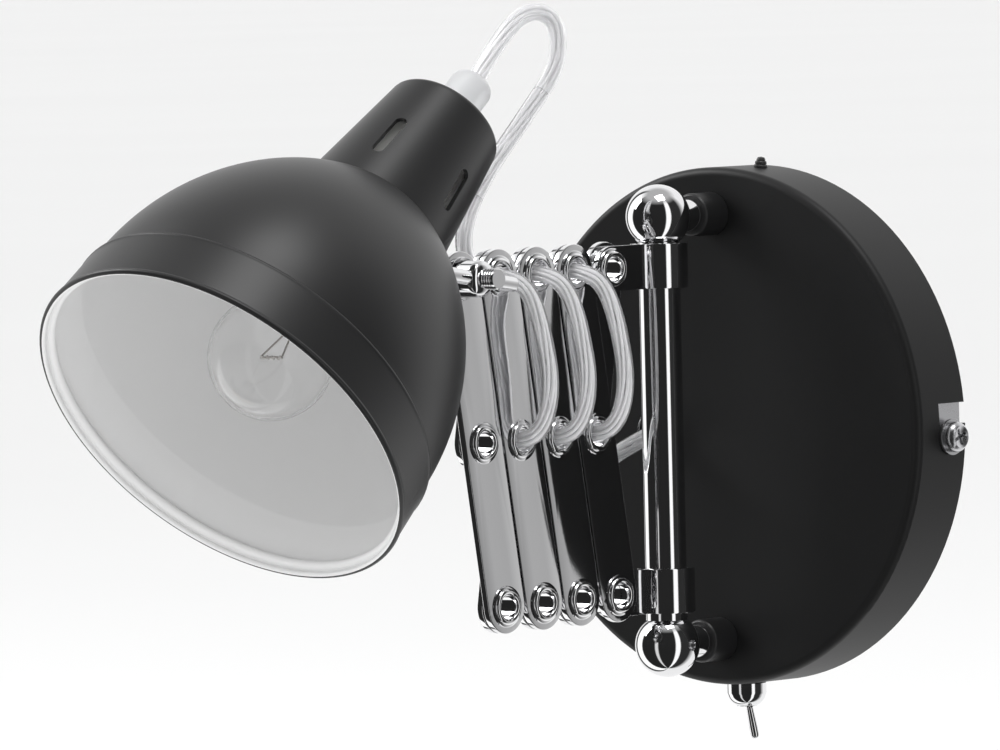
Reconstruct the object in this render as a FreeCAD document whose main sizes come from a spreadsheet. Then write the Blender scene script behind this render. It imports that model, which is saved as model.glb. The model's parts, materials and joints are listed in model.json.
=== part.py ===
import FreeCAD
import Part
import Sketcher
import math
import os

# Swing arm wall sconce: a shade on a scissor arm that opens, swings and is held by a wall canopy.
# Millimetres. +Z is up, the wall is the plane y = 0, the lamp stands out of it towards -Y.
# Every size is a cell of the sheet "Sizes", and each feature is bound to those cells.

V = FreeCAD.Vector

DIMENSIONS = {
    # wall canopy
    "canopy_radius": 75.0,
    "canopy_depth": 21.4,
    "canopy_wall": 1.2,
    "canopy_edge": 2.4,
    "slot_width": 6.0,
    "slot_reach": 11.6,
    "slot_foot": 5.2,
    "slot_drop": 5.0,
    "rim_screw_radius": 2.0,
    "rim_head_radius": 4.4,
    "rim_head_height": 2.4,
    "rim_washer_radius": 5.2,
    "rim_washer_height": 0.8,
    "rim_screw_y": 6.5,
    # mounting bracket
    "bracket_width": 20.0,
    "bracket_sheet": 2.0,
    "bracket_gap": 0.2,
    "ear_depth": 15.0,
    "fixing_spacing": 60.0,
    "fixing_radius": 2.3,
    "earth_head": 3.2,
    "earth_height": 2.4,
    "cable_entry_radius": 9.0,
    # rod and its posts
    "rod_out": 45.4,
    "rod_radius": 6.0,
    "rod_wall": 1.2,
    "ball_height": 61.6,
    "ball_radius": 9.34,
    "rod_seat": 3.6,
    "post_radius": 6.25,
    "post_length": 10.0,
    "neck_radius": 4.8,
    "neck_seat": 1.6,
    "post_screw_radius": 2.4,
    "post_screw_head": 4.4,
    "post_screw_height": 3.0,
    "grub_radius": 1.5,
    "grub_depth": 3.0,
    "grub_sink": 0.6,
    # collars on the rod
    "collar_radius": 8.3,
    "collar_height": 13.0,
    "sliding_fit": 0.08,
    # scissor links
    "pivot_out": 23.3,
    "pivot_height": 47.7,
    "link_length": 94.9,
    "link_width": 15.4,
    "link_sheet": 2.0,
    "layer_gap": 0.5,
    "link_pitch": 16.2834,
    "pivot_fit": 0.06,
    # hollow rivets
    "eyelet_bore": 3.45,
    "eyelet_barrel": 4.2,
    "eyelet_flange": 5.9,
    "eyelet_head": 1.35,
    "eyelet_round": 0.55,
    "spacer_radius": 6.4,
    "open_gap": 0.15,
    # head joint
    "washer_radius": 6.2,
    "washer_sheet": 1.0,
    "knuckle_radius": 5.25,
    "knuckle_length": 8.6,
    "knuckle_round": 2.0,
    "stud_radius": 3.0,
    "stud_length": 4.6,
    "stud_pitch": 1.0,
    "stud_thread": 0.4,
    "nut_radius": 5.6,
    "nut_height": 3.2,
    "bar_radius": 2.2,
    "bar_tail": 15.2,
    "bar_rise": 8.5,
    "bar_bite": 8.0,
    "boss_radius": 4.2,
    "boss_start": 20.0,
    "locknut_radius": 4.6,
    "locknut_height": 3.0,
    # shade
    "head_angle": 40.0,
    "shade_offset": 41.8,
    "pivot_station": 104.6,
    "mouth_radius": 57.2,
    "crease_station": 17.0,
    "crease_radius": 55.2,
    "shoulder_station": 81.6,
    "shoulder_radius": 22.6,
    "shade_length": 123.6,
    "neck_top_radius": 17.1,
    "neck_round": 1.8,
    "shade_wall": 1.0,
    "band_step": 1.2,
    "lip_radius": 0.9,
    "vent_length": 15.5,
    "vent_width": 3.6,
    "vent_station": 97.5,
    "vent_first": 23.0,
    "vent_spacing": 72.0,
    # cord grip, lampholder and bulb
    "grip_radius": 6.25,
    "grip_length": 17.0,
    "grip_nut_radius": 8.0,
    "grip_nut_height": 3.0,
    "holder_radius": 13.4,
    "holder_length": 46.0,
    "holder_bore": 11.6,
    "holder_floor": 6.0,
    "ring_radius": 15.6,
    "ring_height": 5.0,
    "cap_radius": 6.9,
    "cap_length": 20.0,
    "bulb_radius": 17.5,
    "bulb_station": 27.0,
    "bulb_glass": 0.8,
    "bulb_neck": 7.6,
    "stem_glass": 2.6,
    "stem_glass_length": 17.0,
    "filament_spread": 8.0,
    "filament_radius": 0.7,
    "support_radius": 0.4,
    # toggle switch
    "toggle_y": 10.4,
    "toggle_bush": 3.0,
    "toggle_nut_radius": 5.75,
    "toggle_nut_height": 7.0,
    "toggle_mouth": 2.2,
    "toggle_box": 13.0,
    "toggle_box_height": 12.0,
    "toggle_inner_nut": 2.0,
    "toggle_lean": 13.0,
    "lever_radius": 1.25,
    "lever_length": 9.7,
    "lever_pivot": 3.2,
    "lever_ball": 2.1,
    # blanking plug on the rim and the cable's bush
    "plug_angle": 6.0,
    "plug_y": 8.4,
    "plug_radius": 2.0,
    "plug_height": 3.1,
    "plug_stem": 1.6,
    "bush_x": 21.0,
    "bush_drop": 1.0,
    "bush_radius": 4.6,
    "bush_flange": 6.4,
    "bush_length": 4.0,
    "bush_sheet": 1.4,
    # terminal block
    "terminal_length": 30.0,
    "terminal_width": 12.0,
    "terminal_height": 10.0,
    "terminal_screw": 1.6,
    # cable
    "cable_radius": 2.5,
}


class Size:
    """A number in millimetres or degrees, with the sheet formula that it comes from."""

    def __init__(self, number, formula):
        self.number = float(number)
        self.formula = formula

    def _with(self, other, sign, number):
        right = other if isinstance(other, Size) else Size(other, repr(float(other)))
        return Size(number(self.number, right.number), "(%s %s %s)" % (self.formula, sign, right.formula))

    def __add__(self, other):
        return self._with(other, "+", lambda a, b: a + b)

    def __sub__(self, other):
        return self._with(other, "-", lambda a, b: a - b)

    def __mul__(self, other):
        return self._with(other, "*", lambda a, b: a * b)

    def __truediv__(self, other):
        return self._with(other, "/", lambda a, b: a / b)

    def __neg__(self):
        return Size(-self.number, "(0 - %s)" % self.formula)


ZERO = Size(0, "0")


def cosine(angle):
    return Size(math.cos(math.radians(angle.number)), "cos(%s)" % angle.formula)


def sine(angle):
    return Size(math.sin(math.radians(angle.number)), "sin(%s)" % angle.formula)


def arcsine(value):
    return Size(math.degrees(math.asin(value.number)), "(asin(%s) / 1deg)" % value.formula)


def root(value):
    return Size(math.sqrt(value.number), "sqrt(%s)" % value.formula)


doc = FreeCAD.newDocument("WallSconce")
sheet = doc.addObject("Spreadsheet::Sheet", "Sizes")


class Sizes:
    """The sheet's cells as attributes."""


for row, (alias, number) in enumerate(DIMENSIONS.items(), start=1):
    sheet.set("A%d" % row, alias)
    sheet.set("B%d" % row, repr(number))
    sheet.setAlias("B%d" % row, alias)
    setattr(Sizes, alias, Size(number, "Sizes.%s" % alias))
doc.recompute()

d = Sizes
nodes = {}


def keep(label, feature):
    """Makes a feature the sub-part with this label."""
    feature.Label = label
    nodes[label] = feature
    return feature


def bind(feature, name, size):
    feature.setExpression(name, size.formula)


def put(feature, x=ZERO, y=ZERO, z=ZERO, axis=V(0, 0, 1), angle=ZERO):
    """Places a feature: turned about an axis through its own origin, then moved."""
    turn = FreeCAD.Rotation(axis, angle.number)
    feature.Placement = FreeCAD.Placement(V(x.number, y.number, z.number), turn)
    for name, size in (("x", x), ("y", y), ("z", z)):
        bind(feature, "Placement.Base.%s" % name, size)
    if angle.formula != "0":
        bind(feature, "Placement.Rotation.Angle", angle)
    return feature


RIGHT = Size(90, "90")
ALONG_X = {"axis": V(0, 1, 0), "angle": RIGHT}
ALONG_MINUS_X = {"axis": V(0, -1, 0), "angle": RIGHT}
OUTWARD = {"axis": V(1, 0, 0), "angle": RIGHT}
DOWNWARD = {"axis": V(1, 0, 0), "angle": RIGHT * 2}


def plane(body, role):
    return [o for o in body.Origin.OriginFeatures if o.Role == role][0]


def constraint(*words):
    return Sketcher.Constraint(*words)


def pin_one(sketch, geometry, point, size, kind, axis):
    """Holds one point of a sketch at one size from an axis of the sketch."""
    if size.formula == "0":
        sketch.addConstraint(constraint("PointOnObject", geometry, point, axis))
    else:
        number = sketch.addConstraint(constraint(kind, -1, 1, geometry, point, size.number))
        bind(sketch, "Constraints[%d]" % number, size)


def pin(sketch, geometry, point, across, up):
    """Holds one point of a sketch at two sizes from the sketch's origin."""
    pin_one(sketch, geometry, point, across, "DistanceX", -2)
    pin_one(sketch, geometry, point, up, "DistanceY", -1)


def arc_between(start, end, radius, side):
    """An arc from start to end with this radius, on the left (1) or the right (-1) of the chord."""
    chord = end - start
    half = chord.Length / 2
    normal = V(-chord.y, chord.x, 0).normalize() * side
    sag = radius - math.sqrt(max(radius * radius - half * half, 0))
    return Part.Arc(start, start + chord * 0.5 + normal * sag, end)


def outline(body, role, points):
    """A closed outline. A point is (across, up), and (across, up, radius, side) starts an arc."""
    sketch = body.newObject("Sketcher::SketchObject", "Outline")
    sketch.AttachmentSupport = [(plane(body, role), "")]
    sketch.MapMode = "FlatFace"
    corners = [V(p[0].number, p[1].number, 0) for p in points]
    for i, p in enumerate(points):
        end = corners[(i + 1) % len(points)]
        if len(p) == 2:
            sketch.addGeometry(Part.LineSegment(corners[i], end))
        else:
            sketch.addGeometry(arc_between(corners[i], end, p[2].number, p[3]))
    ends = []
    for i in range(len(points)):
        first = sketch.getPoint(i, 1)
        ends.append((1, 2) if (first - corners[i]).Length < 1e-6 else (2, 1))
    for i, p in enumerate(points):
        pin(sketch, i, ends[i][0], p[0], p[1])
        j = (i + 1) % len(points)
        sketch.addConstraint(constraint("Coincident", i, ends[i][1], j, ends[j][0]))
        if len(p) == 4:
            bend(sketch, i, p, points[j])
    return sketch


def bend(sketch, geometry, start, end):
    """Fixes an arc whose ends are held: a half round by its centre, and any other by its radius."""
    if start[1].formula == end[1].formula:
        pin_one(sketch, geometry, 3, start[1], "DistanceY", -1)
    elif start[0].formula == end[0].formula:
        pin_one(sketch, geometry, 3, start[0], "DistanceX", -2)
    else:
        number = sketch.addConstraint(constraint("Radius", geometry, start[2].number))
        bind(sketch, "Constraints[%d]" % number, start[2])


def turned(name, points):
    """A piece turned about its own Z axis, from an outline of (radius, height)."""
    body = doc.addObject("PartDesign::Body", name)
    sketch = outline(body, "XZ_Plane", points)
    revolution = body.newObject("PartDesign::Revolution", "Turned")
    revolution.Profile = sketch
    revolution.ReferenceAxis = (sketch, ["V_Axis"])
    revolution.Angle = 360
    sketch.Visibility = False
    return body


def plate(name, points, thickness, role="YZ_Plane"):
    """A flat piece of one thickness, in the middle of its sketch plane."""
    body = doc.addObject("PartDesign::Body", name)
    sketch = outline(body, role, points)
    pad = body.newObject("PartDesign::Pad", "Sheet")
    pad.Profile = sketch
    bind(pad, "Length", thickness)
    pad.Midplane = True
    return body


def cylinder(radius, height, **where):
    """A cylinder from its own origin along its own Z axis."""
    feature = doc.addObject("Part::Cylinder", "Cylinder")
    bind(feature, "Radius", radius)
    bind(feature, "Height", height)
    return put(feature, **where)


def box(length, width, height, **where):
    """A box centred on its own origin across X and Y, that rises along Z."""
    feature = doc.addObject("Part::Box", "Box")
    bind(feature, "Length", length)
    bind(feature, "Width", width)
    bind(feature, "Height", height)
    return put(feature, **where)


def slab(x, y, z):
    """A box between two sizes along each axis."""
    return box(x[1] - x[0], y[1] - y[0], z[1] - z[0], x=x[0], y=y[0], z=z[0])


def fused(name, features):
    feature = doc.addObject("Part::MultiFuse", name)
    feature.Shapes = features
    return feature


def cut(name, base, tools):
    feature = doc.addObject("Part::Cut", name)
    feature.Base = base
    feature.Tool = tools[0] if len(tools) == 1 else fused(name + "Tools", tools)
    return feature


def group(name, features):
    feature = doc.addObject("Part::Compound", name)
    feature.Links = features
    return feature


def slot_outline(half_length, radius):
    """A plate outline with round ends, its length along the sketch's second axis."""
    return [
        (radius, -half_length),
        (radius, half_length, radius, -1),
        (-radius, half_length),
        (-radius, -half_length, radius, -1),
    ]


# --- places that several pieces share ------------------------------------------------------

half_link = d.link_length / 2
fold_angle = arcsine(d.link_pitch / d.link_length)
row_drop = d.link_length * cosine(fold_angle)
row_pitch = d.link_pitch
first_row = -(d.rod_out + d.pivot_out)
layer_centre = (d.link_sheet + d.layer_gap) / 2
stack_half = d.link_sheet + d.layer_gap / 2


def upper_pivot(number):
    """The place of an upper pivot: 0 is on the collar and 4 holds the head."""
    return first_row - row_pitch * number, d.pivot_height


def middle_pivot(number):
    return first_row - row_pitch * (number + 0.5), d.pivot_height - row_drop / 2


def lower_pivot(number):
    return first_row - row_pitch * number, d.pivot_height - row_drop


def make_canopy():
    wall_radius = d.canopy_radius - d.canopy_wall
    pan = turned("Pan", [
        (wall_radius, ZERO),
        (d.canopy_radius, ZERO),
        (d.canopy_radius, d.canopy_depth - d.canopy_edge, d.canopy_edge, -1),
        (d.canopy_radius - d.canopy_edge, d.canopy_depth),
        (ZERO, d.canopy_depth),
        (ZERO, d.canopy_depth - d.canopy_wall),
        (d.canopy_radius - d.canopy_edge, d.canopy_depth - d.canopy_wall, d.canopy_edge - d.canopy_wall, 1),
        (wall_radius, d.canopy_depth - d.canopy_edge),
    ])
    put(pan, **OUTWARD)
    margin = d.canopy_wall * 2
    holes = []
    for side in (1, -1):
        holes.append(cylinder(d.post_screw_radius, d.canopy_wall * 3, z=d.ball_height * side,
                              y=-(d.canopy_depth - margin), **OUTWARD))
        entry = [d.slot_width * 0.2, d.slot_width * 1.2]
        foot = [-d.slot_drop, d.slot_width * 0.3]
        if side < 0:
            entry = [-entry[1], -entry[0]]
            foot = [-foot[1], -foot[0]]
        across = (wall_radius - margin, d.canopy_radius + margin)
        if side < 0:
            across = (-across[1], -across[0])
        holes.append(slab(across, (-d.slot_reach, d.canopy_wall), entry))
        depth = (-(d.rim_screw_y + d.slot_foot / 2), -(d.rim_screw_y - d.slot_foot / 2))
        holes.append(slab(across, depth, foot))
    holes.append(cylinder(d.bush_radius, d.canopy_wall * 3, x=-d.bush_x, z=-d.bush_drop,
                          y=-(d.canopy_depth - margin), **OUTWARD))
    holes.append(cylinder(d.toggle_bush, d.canopy_wall * 4, y=-d.toggle_y,
                          z=-(wall_radius - margin), **DOWNWARD))
    plug_seat = wall_radius - d.canopy_wall * 2.5
    holes.append(cylinder(d.plug_stem, d.canopy_wall * 6, x=plug_seat * sine(d.plug_angle),
                          y=-d.plug_y, z=plug_seat * cosine(d.plug_angle),
                          axis=V(0, 1, 0), angle=d.plug_angle))
    keep("wall_canopy", cut("Canopy", pan, holes))


def make_bracket():
    half = d.bracket_width / 2
    room = d.canopy_radius - d.canopy_wall - d.bracket_gap
    ear_x = root(room * room - half * half)
    strip = slab((-ear_x, ear_x), (-d.bracket_sheet, ZERO), (-half, half))
    pieces = [strip]
    holes = [
        cylinder(d.cable_entry_radius, d.bracket_sheet * 3, y=d.bracket_sheet, **OUTWARD),
        cylinder(d.terminal_screw, d.bracket_sheet * 0.5, x=-(d.cable_entry_radius + d.earth_head * 1.5),
                 y=-(d.bracket_sheet * 0.5), **OUTWARD),
    ]
    for side in (1, -1):
        ear = (ear_x - d.bracket_sheet, ear_x) if side > 0 else (-ear_x, -ear_x + d.bracket_sheet)
        pieces.append(slab(ear, (-d.ear_depth, ZERO), (-half, half)))
        start = ear_x - d.bracket_sheet * 2
        turn = ALONG_X if side > 0 else ALONG_MINUS_X
        holes.append(cylinder(d.rim_screw_radius, d.bracket_sheet * 4, x=start * side, y=-d.rim_screw_y,
                              z=-(d.slot_drop / 2) * side, **turn))
        holes.append(cylinder(d.fixing_radius, d.bracket_sheet * 3, x=d.fixing_spacing / 2 * side,
                              y=d.bracket_sheet, **OUTWARD))
    keep("mounting_bracket", cut("Bracket", fused("BracketStrip", pieces), holes))


def pan_head(radius, height, shank, length):
    """A screw along its own Z axis: a domed head above zero and a shank below it."""
    return turned("Screw", [
        (ZERO, -length),
        (shank, -length),
        (shank, ZERO),
        (radius, ZERO),
        (radius, height * 0.45),
        (radius * 0.72, height),
        (ZERO, height),
    ])


def make_rim_screws():
    pieces = []
    for side in (1, -1):
        turn = ALONG_X if side > 0 else ALONG_MINUS_X
        where = {"y": -d.rim_screw_y, "z": -(d.slot_drop / 2) * side}
        screw = pan_head(d.rim_head_radius, d.rim_head_height, d.rim_screw_radius, d.bracket_sheet * 4)
        pieces.append(put(screw, x=(d.canopy_radius + d.rim_washer_height) * side, **where, **turn))
        washer = turned("Washer", [
            (d.rim_screw_radius, ZERO),
            (d.rim_washer_radius, ZERO),
            (d.rim_washer_radius, d.rim_washer_height),
            (d.rim_screw_radius, d.rim_washer_height),
        ])
        pieces.append(put(washer, x=d.canopy_radius * side, **where, **turn))
    keep("rim_screws", group("RimScrews", pieces))


def make_terminals():
    half = d.terminal_length / 2
    start = d.bracket_sheet
    lift = d.cable_entry_radius + d.terminal_width / 2
    block = slab((-half, half), (-(start + d.terminal_height), -start), (lift, lift + d.terminal_width))
    screws = []
    holes = []
    for number in (-1, 0, 1):
        x = d.terminal_length / 3 * number
        z = lift + d.terminal_width / 2
        y = -(start + d.terminal_height)
        holes.append(cylinder(d.terminal_screw, d.terminal_height / 2, x=x, z=z, y=y + d.terminal_height / 2,
                              **OUTWARD))
        screws.append(cylinder(d.terminal_screw, d.terminal_height / 2 - d.terminal_screw, x=x, z=z,
                               y=y + d.terminal_height / 2, **OUTWARD))
    keep("terminal_block", cut("Terminals", block, holes))
    earth = pan_head(d.earth_head, d.earth_height, d.terminal_screw, d.bracket_sheet * 0.5)
    put(earth, x=-(d.cable_entry_radius + d.earth_head * 1.5), y=-d.bracket_sheet, **OUTWARD)
    keep("terminal_screws", group("TerminalScrews", screws + [earth]))


def make_rod():
    seat = d.ball_height - d.rod_seat
    inner = d.rod_radius - d.rod_wall
    tube = turned("Rod", [
        (inner, ZERO),
        (d.rod_radius, ZERO),
        (d.rod_radius, seat * 2),
        (inner, seat * 2),
    ])
    keep("rod_tube", put(tube, y=-d.rod_out, z=-seat))
    neck_start = d.canopy_depth + d.post_length
    neck_end = d.rod_out - d.ball_radius + d.neck_seat
    balls = []
    necks = []
    posts = []
    for side in (1, -1):
        z = d.ball_height * side
        sphere = doc.addObject("Part::Sphere", "Ball")
        bind(sphere, "Radius", d.ball_radius)
        put(sphere, y=-d.rod_out, z=z)
        turn = DOWNWARD if side > 0 else {}
        holes = [
            cylinder(d.rod_radius, d.ball_radius * 2, y=-d.rod_out, z=seat * side, **turn),
            cylinder(d.neck_radius, d.ball_radius * 2, y=-(neck_end - d.ball_radius * 2), z=z, **OUTWARD),
        ]
        if side < 0:
            holes.append(cylinder(d.grub_radius, d.grub_depth, x=d.ball_radius - d.grub_depth,
                                  y=-d.rod_out, z=z, **ALONG_X))
        balls.append(cut("BallCut", sphere, holes))
        neck = turned("Neck", [
            (d.post_screw_radius, ZERO),
            (d.neck_radius, ZERO),
            (d.neck_radius, neck_end - neck_start),
            (d.post_screw_radius, neck_end - neck_start),
        ])
        necks.append(put(neck, y=-neck_start, z=z, **OUTWARD))
        post = turned("Post", [
            (d.post_screw_radius, ZERO),
            (d.post_radius, ZERO),
            (d.post_radius, d.post_length - d.grub_sink),
            (d.post_radius - d.grub_sink, d.post_length),
            (d.post_screw_radius, d.post_length),
        ])
        posts.append(put(post, y=-d.canopy_depth, z=z, **OUTWARD))
    keep("rod_balls", group("Balls", balls))
    keep("post_necks", group("Necks", necks))
    keep("wall_posts", group("Posts", posts))
    screws = []
    for side in (1, -1):
        z = d.ball_height * side
        length = neck_end - d.canopy_depth + d.canopy_wall
        screw = pan_head(d.post_screw_head, d.post_screw_height, d.post_screw_radius, length)
        screws.append(put(screw, y=-(d.canopy_depth - d.canopy_wall), z=z, axis=V(-1, 0, 0), angle=RIGHT))
    keep("post_screws", group("PostScrews", screws))
    grub = cylinder(d.grub_radius, d.grub_depth - d.grub_sink * 2, x=d.ball_radius - d.grub_depth,
                    y=-d.rod_out, z=-d.ball_height, **ALONG_X)
    keep("ball_grub_screw", grub)


def make_collar(name, x, z):
    """A sleeve on the rod with a flat tab that carries a pivot."""
    sleeve = cylinder(d.collar_radius, d.collar_height, y=-d.rod_out, z=z - d.collar_height / 2)
    tab = plate("Tab", [
        (ZERO, -(d.collar_height / 2)),
        (ZERO, d.collar_height / 2),
        (-d.pivot_out, d.collar_height / 2, d.collar_height / 2, -1),
        (-d.pivot_out, -(d.collar_height / 2)),
    ], d.link_sheet)
    put(tab, x=x, y=-d.rod_out, z=z)
    holes = [
        cylinder(d.rod_radius + d.sliding_fit, d.collar_height * 2, y=-d.rod_out, z=z - d.collar_height),
        cylinder(d.eyelet_barrel, d.link_sheet * 3, x=x - d.link_sheet * 1.5, y=first_row, z=z, **ALONG_X),
    ]
    keep(name, cut("Collar", fused("CollarStrip", [sleeve, tab]), holes))


def make_link(name, number, front, full):
    """One flat link. A half link ends at its middle pivot."""
    y, z = middle_pivot(number)
    radius = d.link_width / 2
    hole = d.eyelet_barrel if front else d.eyelet_barrel + d.pivot_fit
    if full:
        points = slot_outline(half_link, radius)
        ends = [-half_link, ZERO, half_link]
    else:
        points = [
            (radius, ZERO),
            (radius, half_link, radius, -1),
            (-radius, half_link),
            (-radius, ZERO, radius, -1),
        ]
        ends = [ZERO, half_link]
    link = plate("Link", points, d.link_sheet)
    holes = []
    for up in ends:
        hole_here = hole
        if front and number == 3 and up is ends[-1]:
            hole_here = d.stud_radius + d.pivot_fit
        holes.append(put(cylinder(hole_here, d.link_sheet * 3), x=-(d.link_sheet * 1.5), z=up, **ALONG_X))
    blank = cut("LinkBlank", link, holes)
    x = layer_centre if front else -layer_centre
    axis = V(1, 0, 0) if front else V(-1, 0, 0)
    put(blank, x=x, y=y, z=z, axis=axis, angle=fold_angle)
    keep(name, blank)


def eyelet(y, z):
    """A hollow rivet through both layers. It is tight in the front layer and runs in the back one."""
    head = d.eyelet_head
    back = stack_half + d.pivot_fit
    crown = d.eyelet_flange - d.eyelet_round * 2
    shape = turned("Eyelet", [
        (d.eyelet_bore, -(back + head)),
        (crown, -(back + head)),
        (d.eyelet_flange, -(back + head - d.eyelet_round * 1.4)),
        (d.eyelet_flange, -back),
        (d.eyelet_barrel, -back),
        (d.eyelet_barrel, stack_half),
        (d.eyelet_flange, stack_half),
        (d.eyelet_flange, stack_half + head - d.eyelet_round * 1.4),
        (crown, stack_half + head),
        (d.eyelet_bore + d.eyelet_round, stack_half + head),
        (d.eyelet_bore, stack_half + head - d.eyelet_round),
    ])
    return put(shape, y=y, z=z, **ALONG_X)


def half_eyelet(y, z, turn):
    """Half of a hollow rivet, in one layer only."""
    head = d.eyelet_head
    shape = turned("HalfEyelet", [
        (d.eyelet_bore, d.open_gap),
        (d.eyelet_barrel, d.open_gap),
        (d.eyelet_barrel, stack_half),
        (d.eyelet_flange, stack_half),
        (d.eyelet_flange, stack_half + head - d.eyelet_round * 1.4),
        (d.eyelet_flange - d.eyelet_round * 2, stack_half + head),
        (d.eyelet_bore + d.eyelet_round, stack_half + head),
        (d.eyelet_bore, stack_half + head - d.eyelet_round),
    ])
    return put(shape, y=y, z=z, **turn)


def spacer(y, z):
    """A thin washer between the layers, on the front link."""
    shape = turned("Spacer", [
        (d.eyelet_barrel, ZERO),
        (d.spacer_radius, ZERO),
        (d.spacer_radius, d.layer_gap - d.pivot_fit),
        (d.eyelet_barrel, d.layer_gap - d.pivot_fit),
    ])
    return put(shape, x=-(d.layer_gap / 2 - d.pivot_fit), y=y, z=z, **ALONG_X)


def make_arm():
    y, z = upper_pivot(0)
    make_collar("upper_collar", layer_centre, d.pivot_height)
    make_collar("lower_collar", -layer_centre, d.pivot_height - row_drop)
    keep("collar_rivet", group("CollarRivet", [eyelet(y, z), spacer(y, z)]))
    y, z = lower_pivot(0)
    keep("lower_collar_rivet", half_eyelet(y, z, ALONG_MINUS_X))
    for number in range(4):
        make_link("front_link_%d" % number, number, True, True)
        make_link("back_link_%d" % number, number, False, number < 3)
        joints = [middle_pivot(number)]
        if number < 3:
            joints.append(upper_pivot(number + 1))
        if number > 0:
            joints.append(lower_pivot(number))
        rivets = [eyelet(*joint) for joint in joints]
        rivets += [spacer(*joint) for joint in joints]
        if number == 0:
            rivets.append(half_eyelet(*lower_pivot(0), ALONG_X))
        keep("link_rivets_%d" % number, group("LinkRivets", rivets))


# --- head: the pivot is at the last upper pivot, and the shade is carried on a bar -----------

head_y, head_z = upper_pivot(4)
tilt = RIGHT - d.head_angle
axis_y = cosine(d.head_angle)
axis_z = sine(d.head_angle)
knuckle_x = stack_half + d.washer_sheet
bar_x = knuckle_x + d.knuckle_radius


def shade_point(station, offset=ZERO):
    """A point in the shade's middle plane, by its height over the mouth and its distance from the axis.

    A positive distance is towards the wall and down.
    """
    along = station - d.pivot_station
    out = offset - d.shade_offset
    return head_y + axis_y * along + axis_z * out, head_z + axis_z * along - axis_y * out


def on_shade_axis(feature, station):
    y, z = shade_point(station)
    return put(feature, x=bar_x, y=y, z=z, axis=V(-1, 0, 0), angle=tilt)


def along_bar(feature, distance):
    """Puts a feature on the bar, that far from the pivot, with its Z axis towards the shade."""
    return put(feature, x=bar_x, y=head_y - cosine(d.bar_rise) * distance,
               z=head_z + sine(d.bar_rise) * distance,
               axis=V(1, 0, 0), angle=RIGHT - d.bar_rise)


def make_knuckle():
    length = d.knuckle_length
    body = turned("KnuckleBody", [
        (ZERO, ZERO),
        (d.knuckle_radius, ZERO),
        (d.knuckle_radius, length - d.knuckle_round, d.knuckle_round, -1),
        (d.knuckle_radius - d.knuckle_round, length),
        (ZERO, length),
    ])
    put(body, x=knuckle_x, y=head_y, z=head_z, **ALONG_X)
    hole = along_bar(cylinder(d.bar_radius + d.sliding_fit, d.knuckle_radius * 4), -(d.knuckle_radius * 2))
    bore = cylinder(d.stud_radius, d.knuckle_length * 2, x=knuckle_x, y=head_y, z=head_z, **ALONG_X)
    keep("head_knuckle", cut("Knuckle", body, [hole, bore]))
    washer = turned("HeadWasher", [
        (d.stud_radius, ZERO),
        (d.washer_radius, ZERO),
        (d.washer_radius, d.washer_sheet - d.pivot_fit),
        (d.stud_radius, d.washer_sheet - d.pivot_fit),
    ])
    keep("head_washer", put(washer, x=stack_half + d.pivot_fit, y=head_y, z=head_z, **ALONG_X))
    clamp = doc.addObject("Part::Prism", "ClampNut")
    clamp.Polygon = 6
    bind(clamp, "Circumradius", d.nut_radius)
    bind(clamp, "Height", d.nut_height)
    put(clamp, x=d.layer_gap / 2 - d.pivot_fit - d.nut_height, y=head_y, z=head_z, **ALONG_X)
    through = cylinder(d.stud_radius, d.nut_height * 3, x=-(d.nut_height * 2), y=head_y, z=head_z, **ALONG_X)
    keep("head_clamp_nut", cut("ClampNutCut", clamp, [through]))
    stud_start = d.layer_gap / 2 - d.nut_height - d.washer_sheet
    inner_end = bar_x - d.bar_radius - d.sliding_fit
    pin_end = cylinder(d.stud_radius, inner_end - stud_start, x=stud_start, y=head_y, z=head_z, **ALONG_X)
    keep("head_pivot_pin", pin_end)
    make_stud(bar_x + d.bar_radius + d.sliding_fit, knuckle_x + d.knuckle_length + d.stud_length)


def make_stud(start, end):
    """The threaded clamp stud, from the bar out through the knuckle, with ridges for its thread."""
    groove = d.stud_radius - d.stud_thread
    free = end - d.stud_length
    points = [(ZERO, ZERO), (d.stud_radius, ZERO), (d.stud_radius, free - start)]
    for turn in range(4):
        base = free - start + d.stud_pitch * turn
        points.append((groove, base + d.stud_pitch * 0.35))
        points.append((d.stud_radius, base + d.stud_pitch * 0.9))
    points += [(d.stud_radius, end - start), (ZERO, end - start)]
    keep("clamp_stud", put(turned("Stud", points), x=start, y=head_y, z=head_z, **ALONG_X))


def dome_radius():
    """The radius of the dome's arc, which leaves the crease straight up and ends on the shoulder."""
    drop = d.crease_radius - d.shoulder_radius
    rise = d.shoulder_station - d.crease_station
    return (drop * drop + rise * rise) / (drop * 2)


def shell_outline(inset, top):
    """The shade's half profile from the mouth to the neck, as points on one side of the wall."""
    arc = dome_radius() - inset
    rise = d.shoulder_station - d.crease_station
    shoulder = d.crease_radius - dome_radius() + root(arc * arc - rise * rise)
    slope = (d.shoulder_radius - d.neck_top_radius) / (d.shade_length - d.shoulder_station)
    neck_top = shoulder - slope * (top - d.shoulder_station)
    return shoulder, neck_top, arc


VENTS = 5


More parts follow.
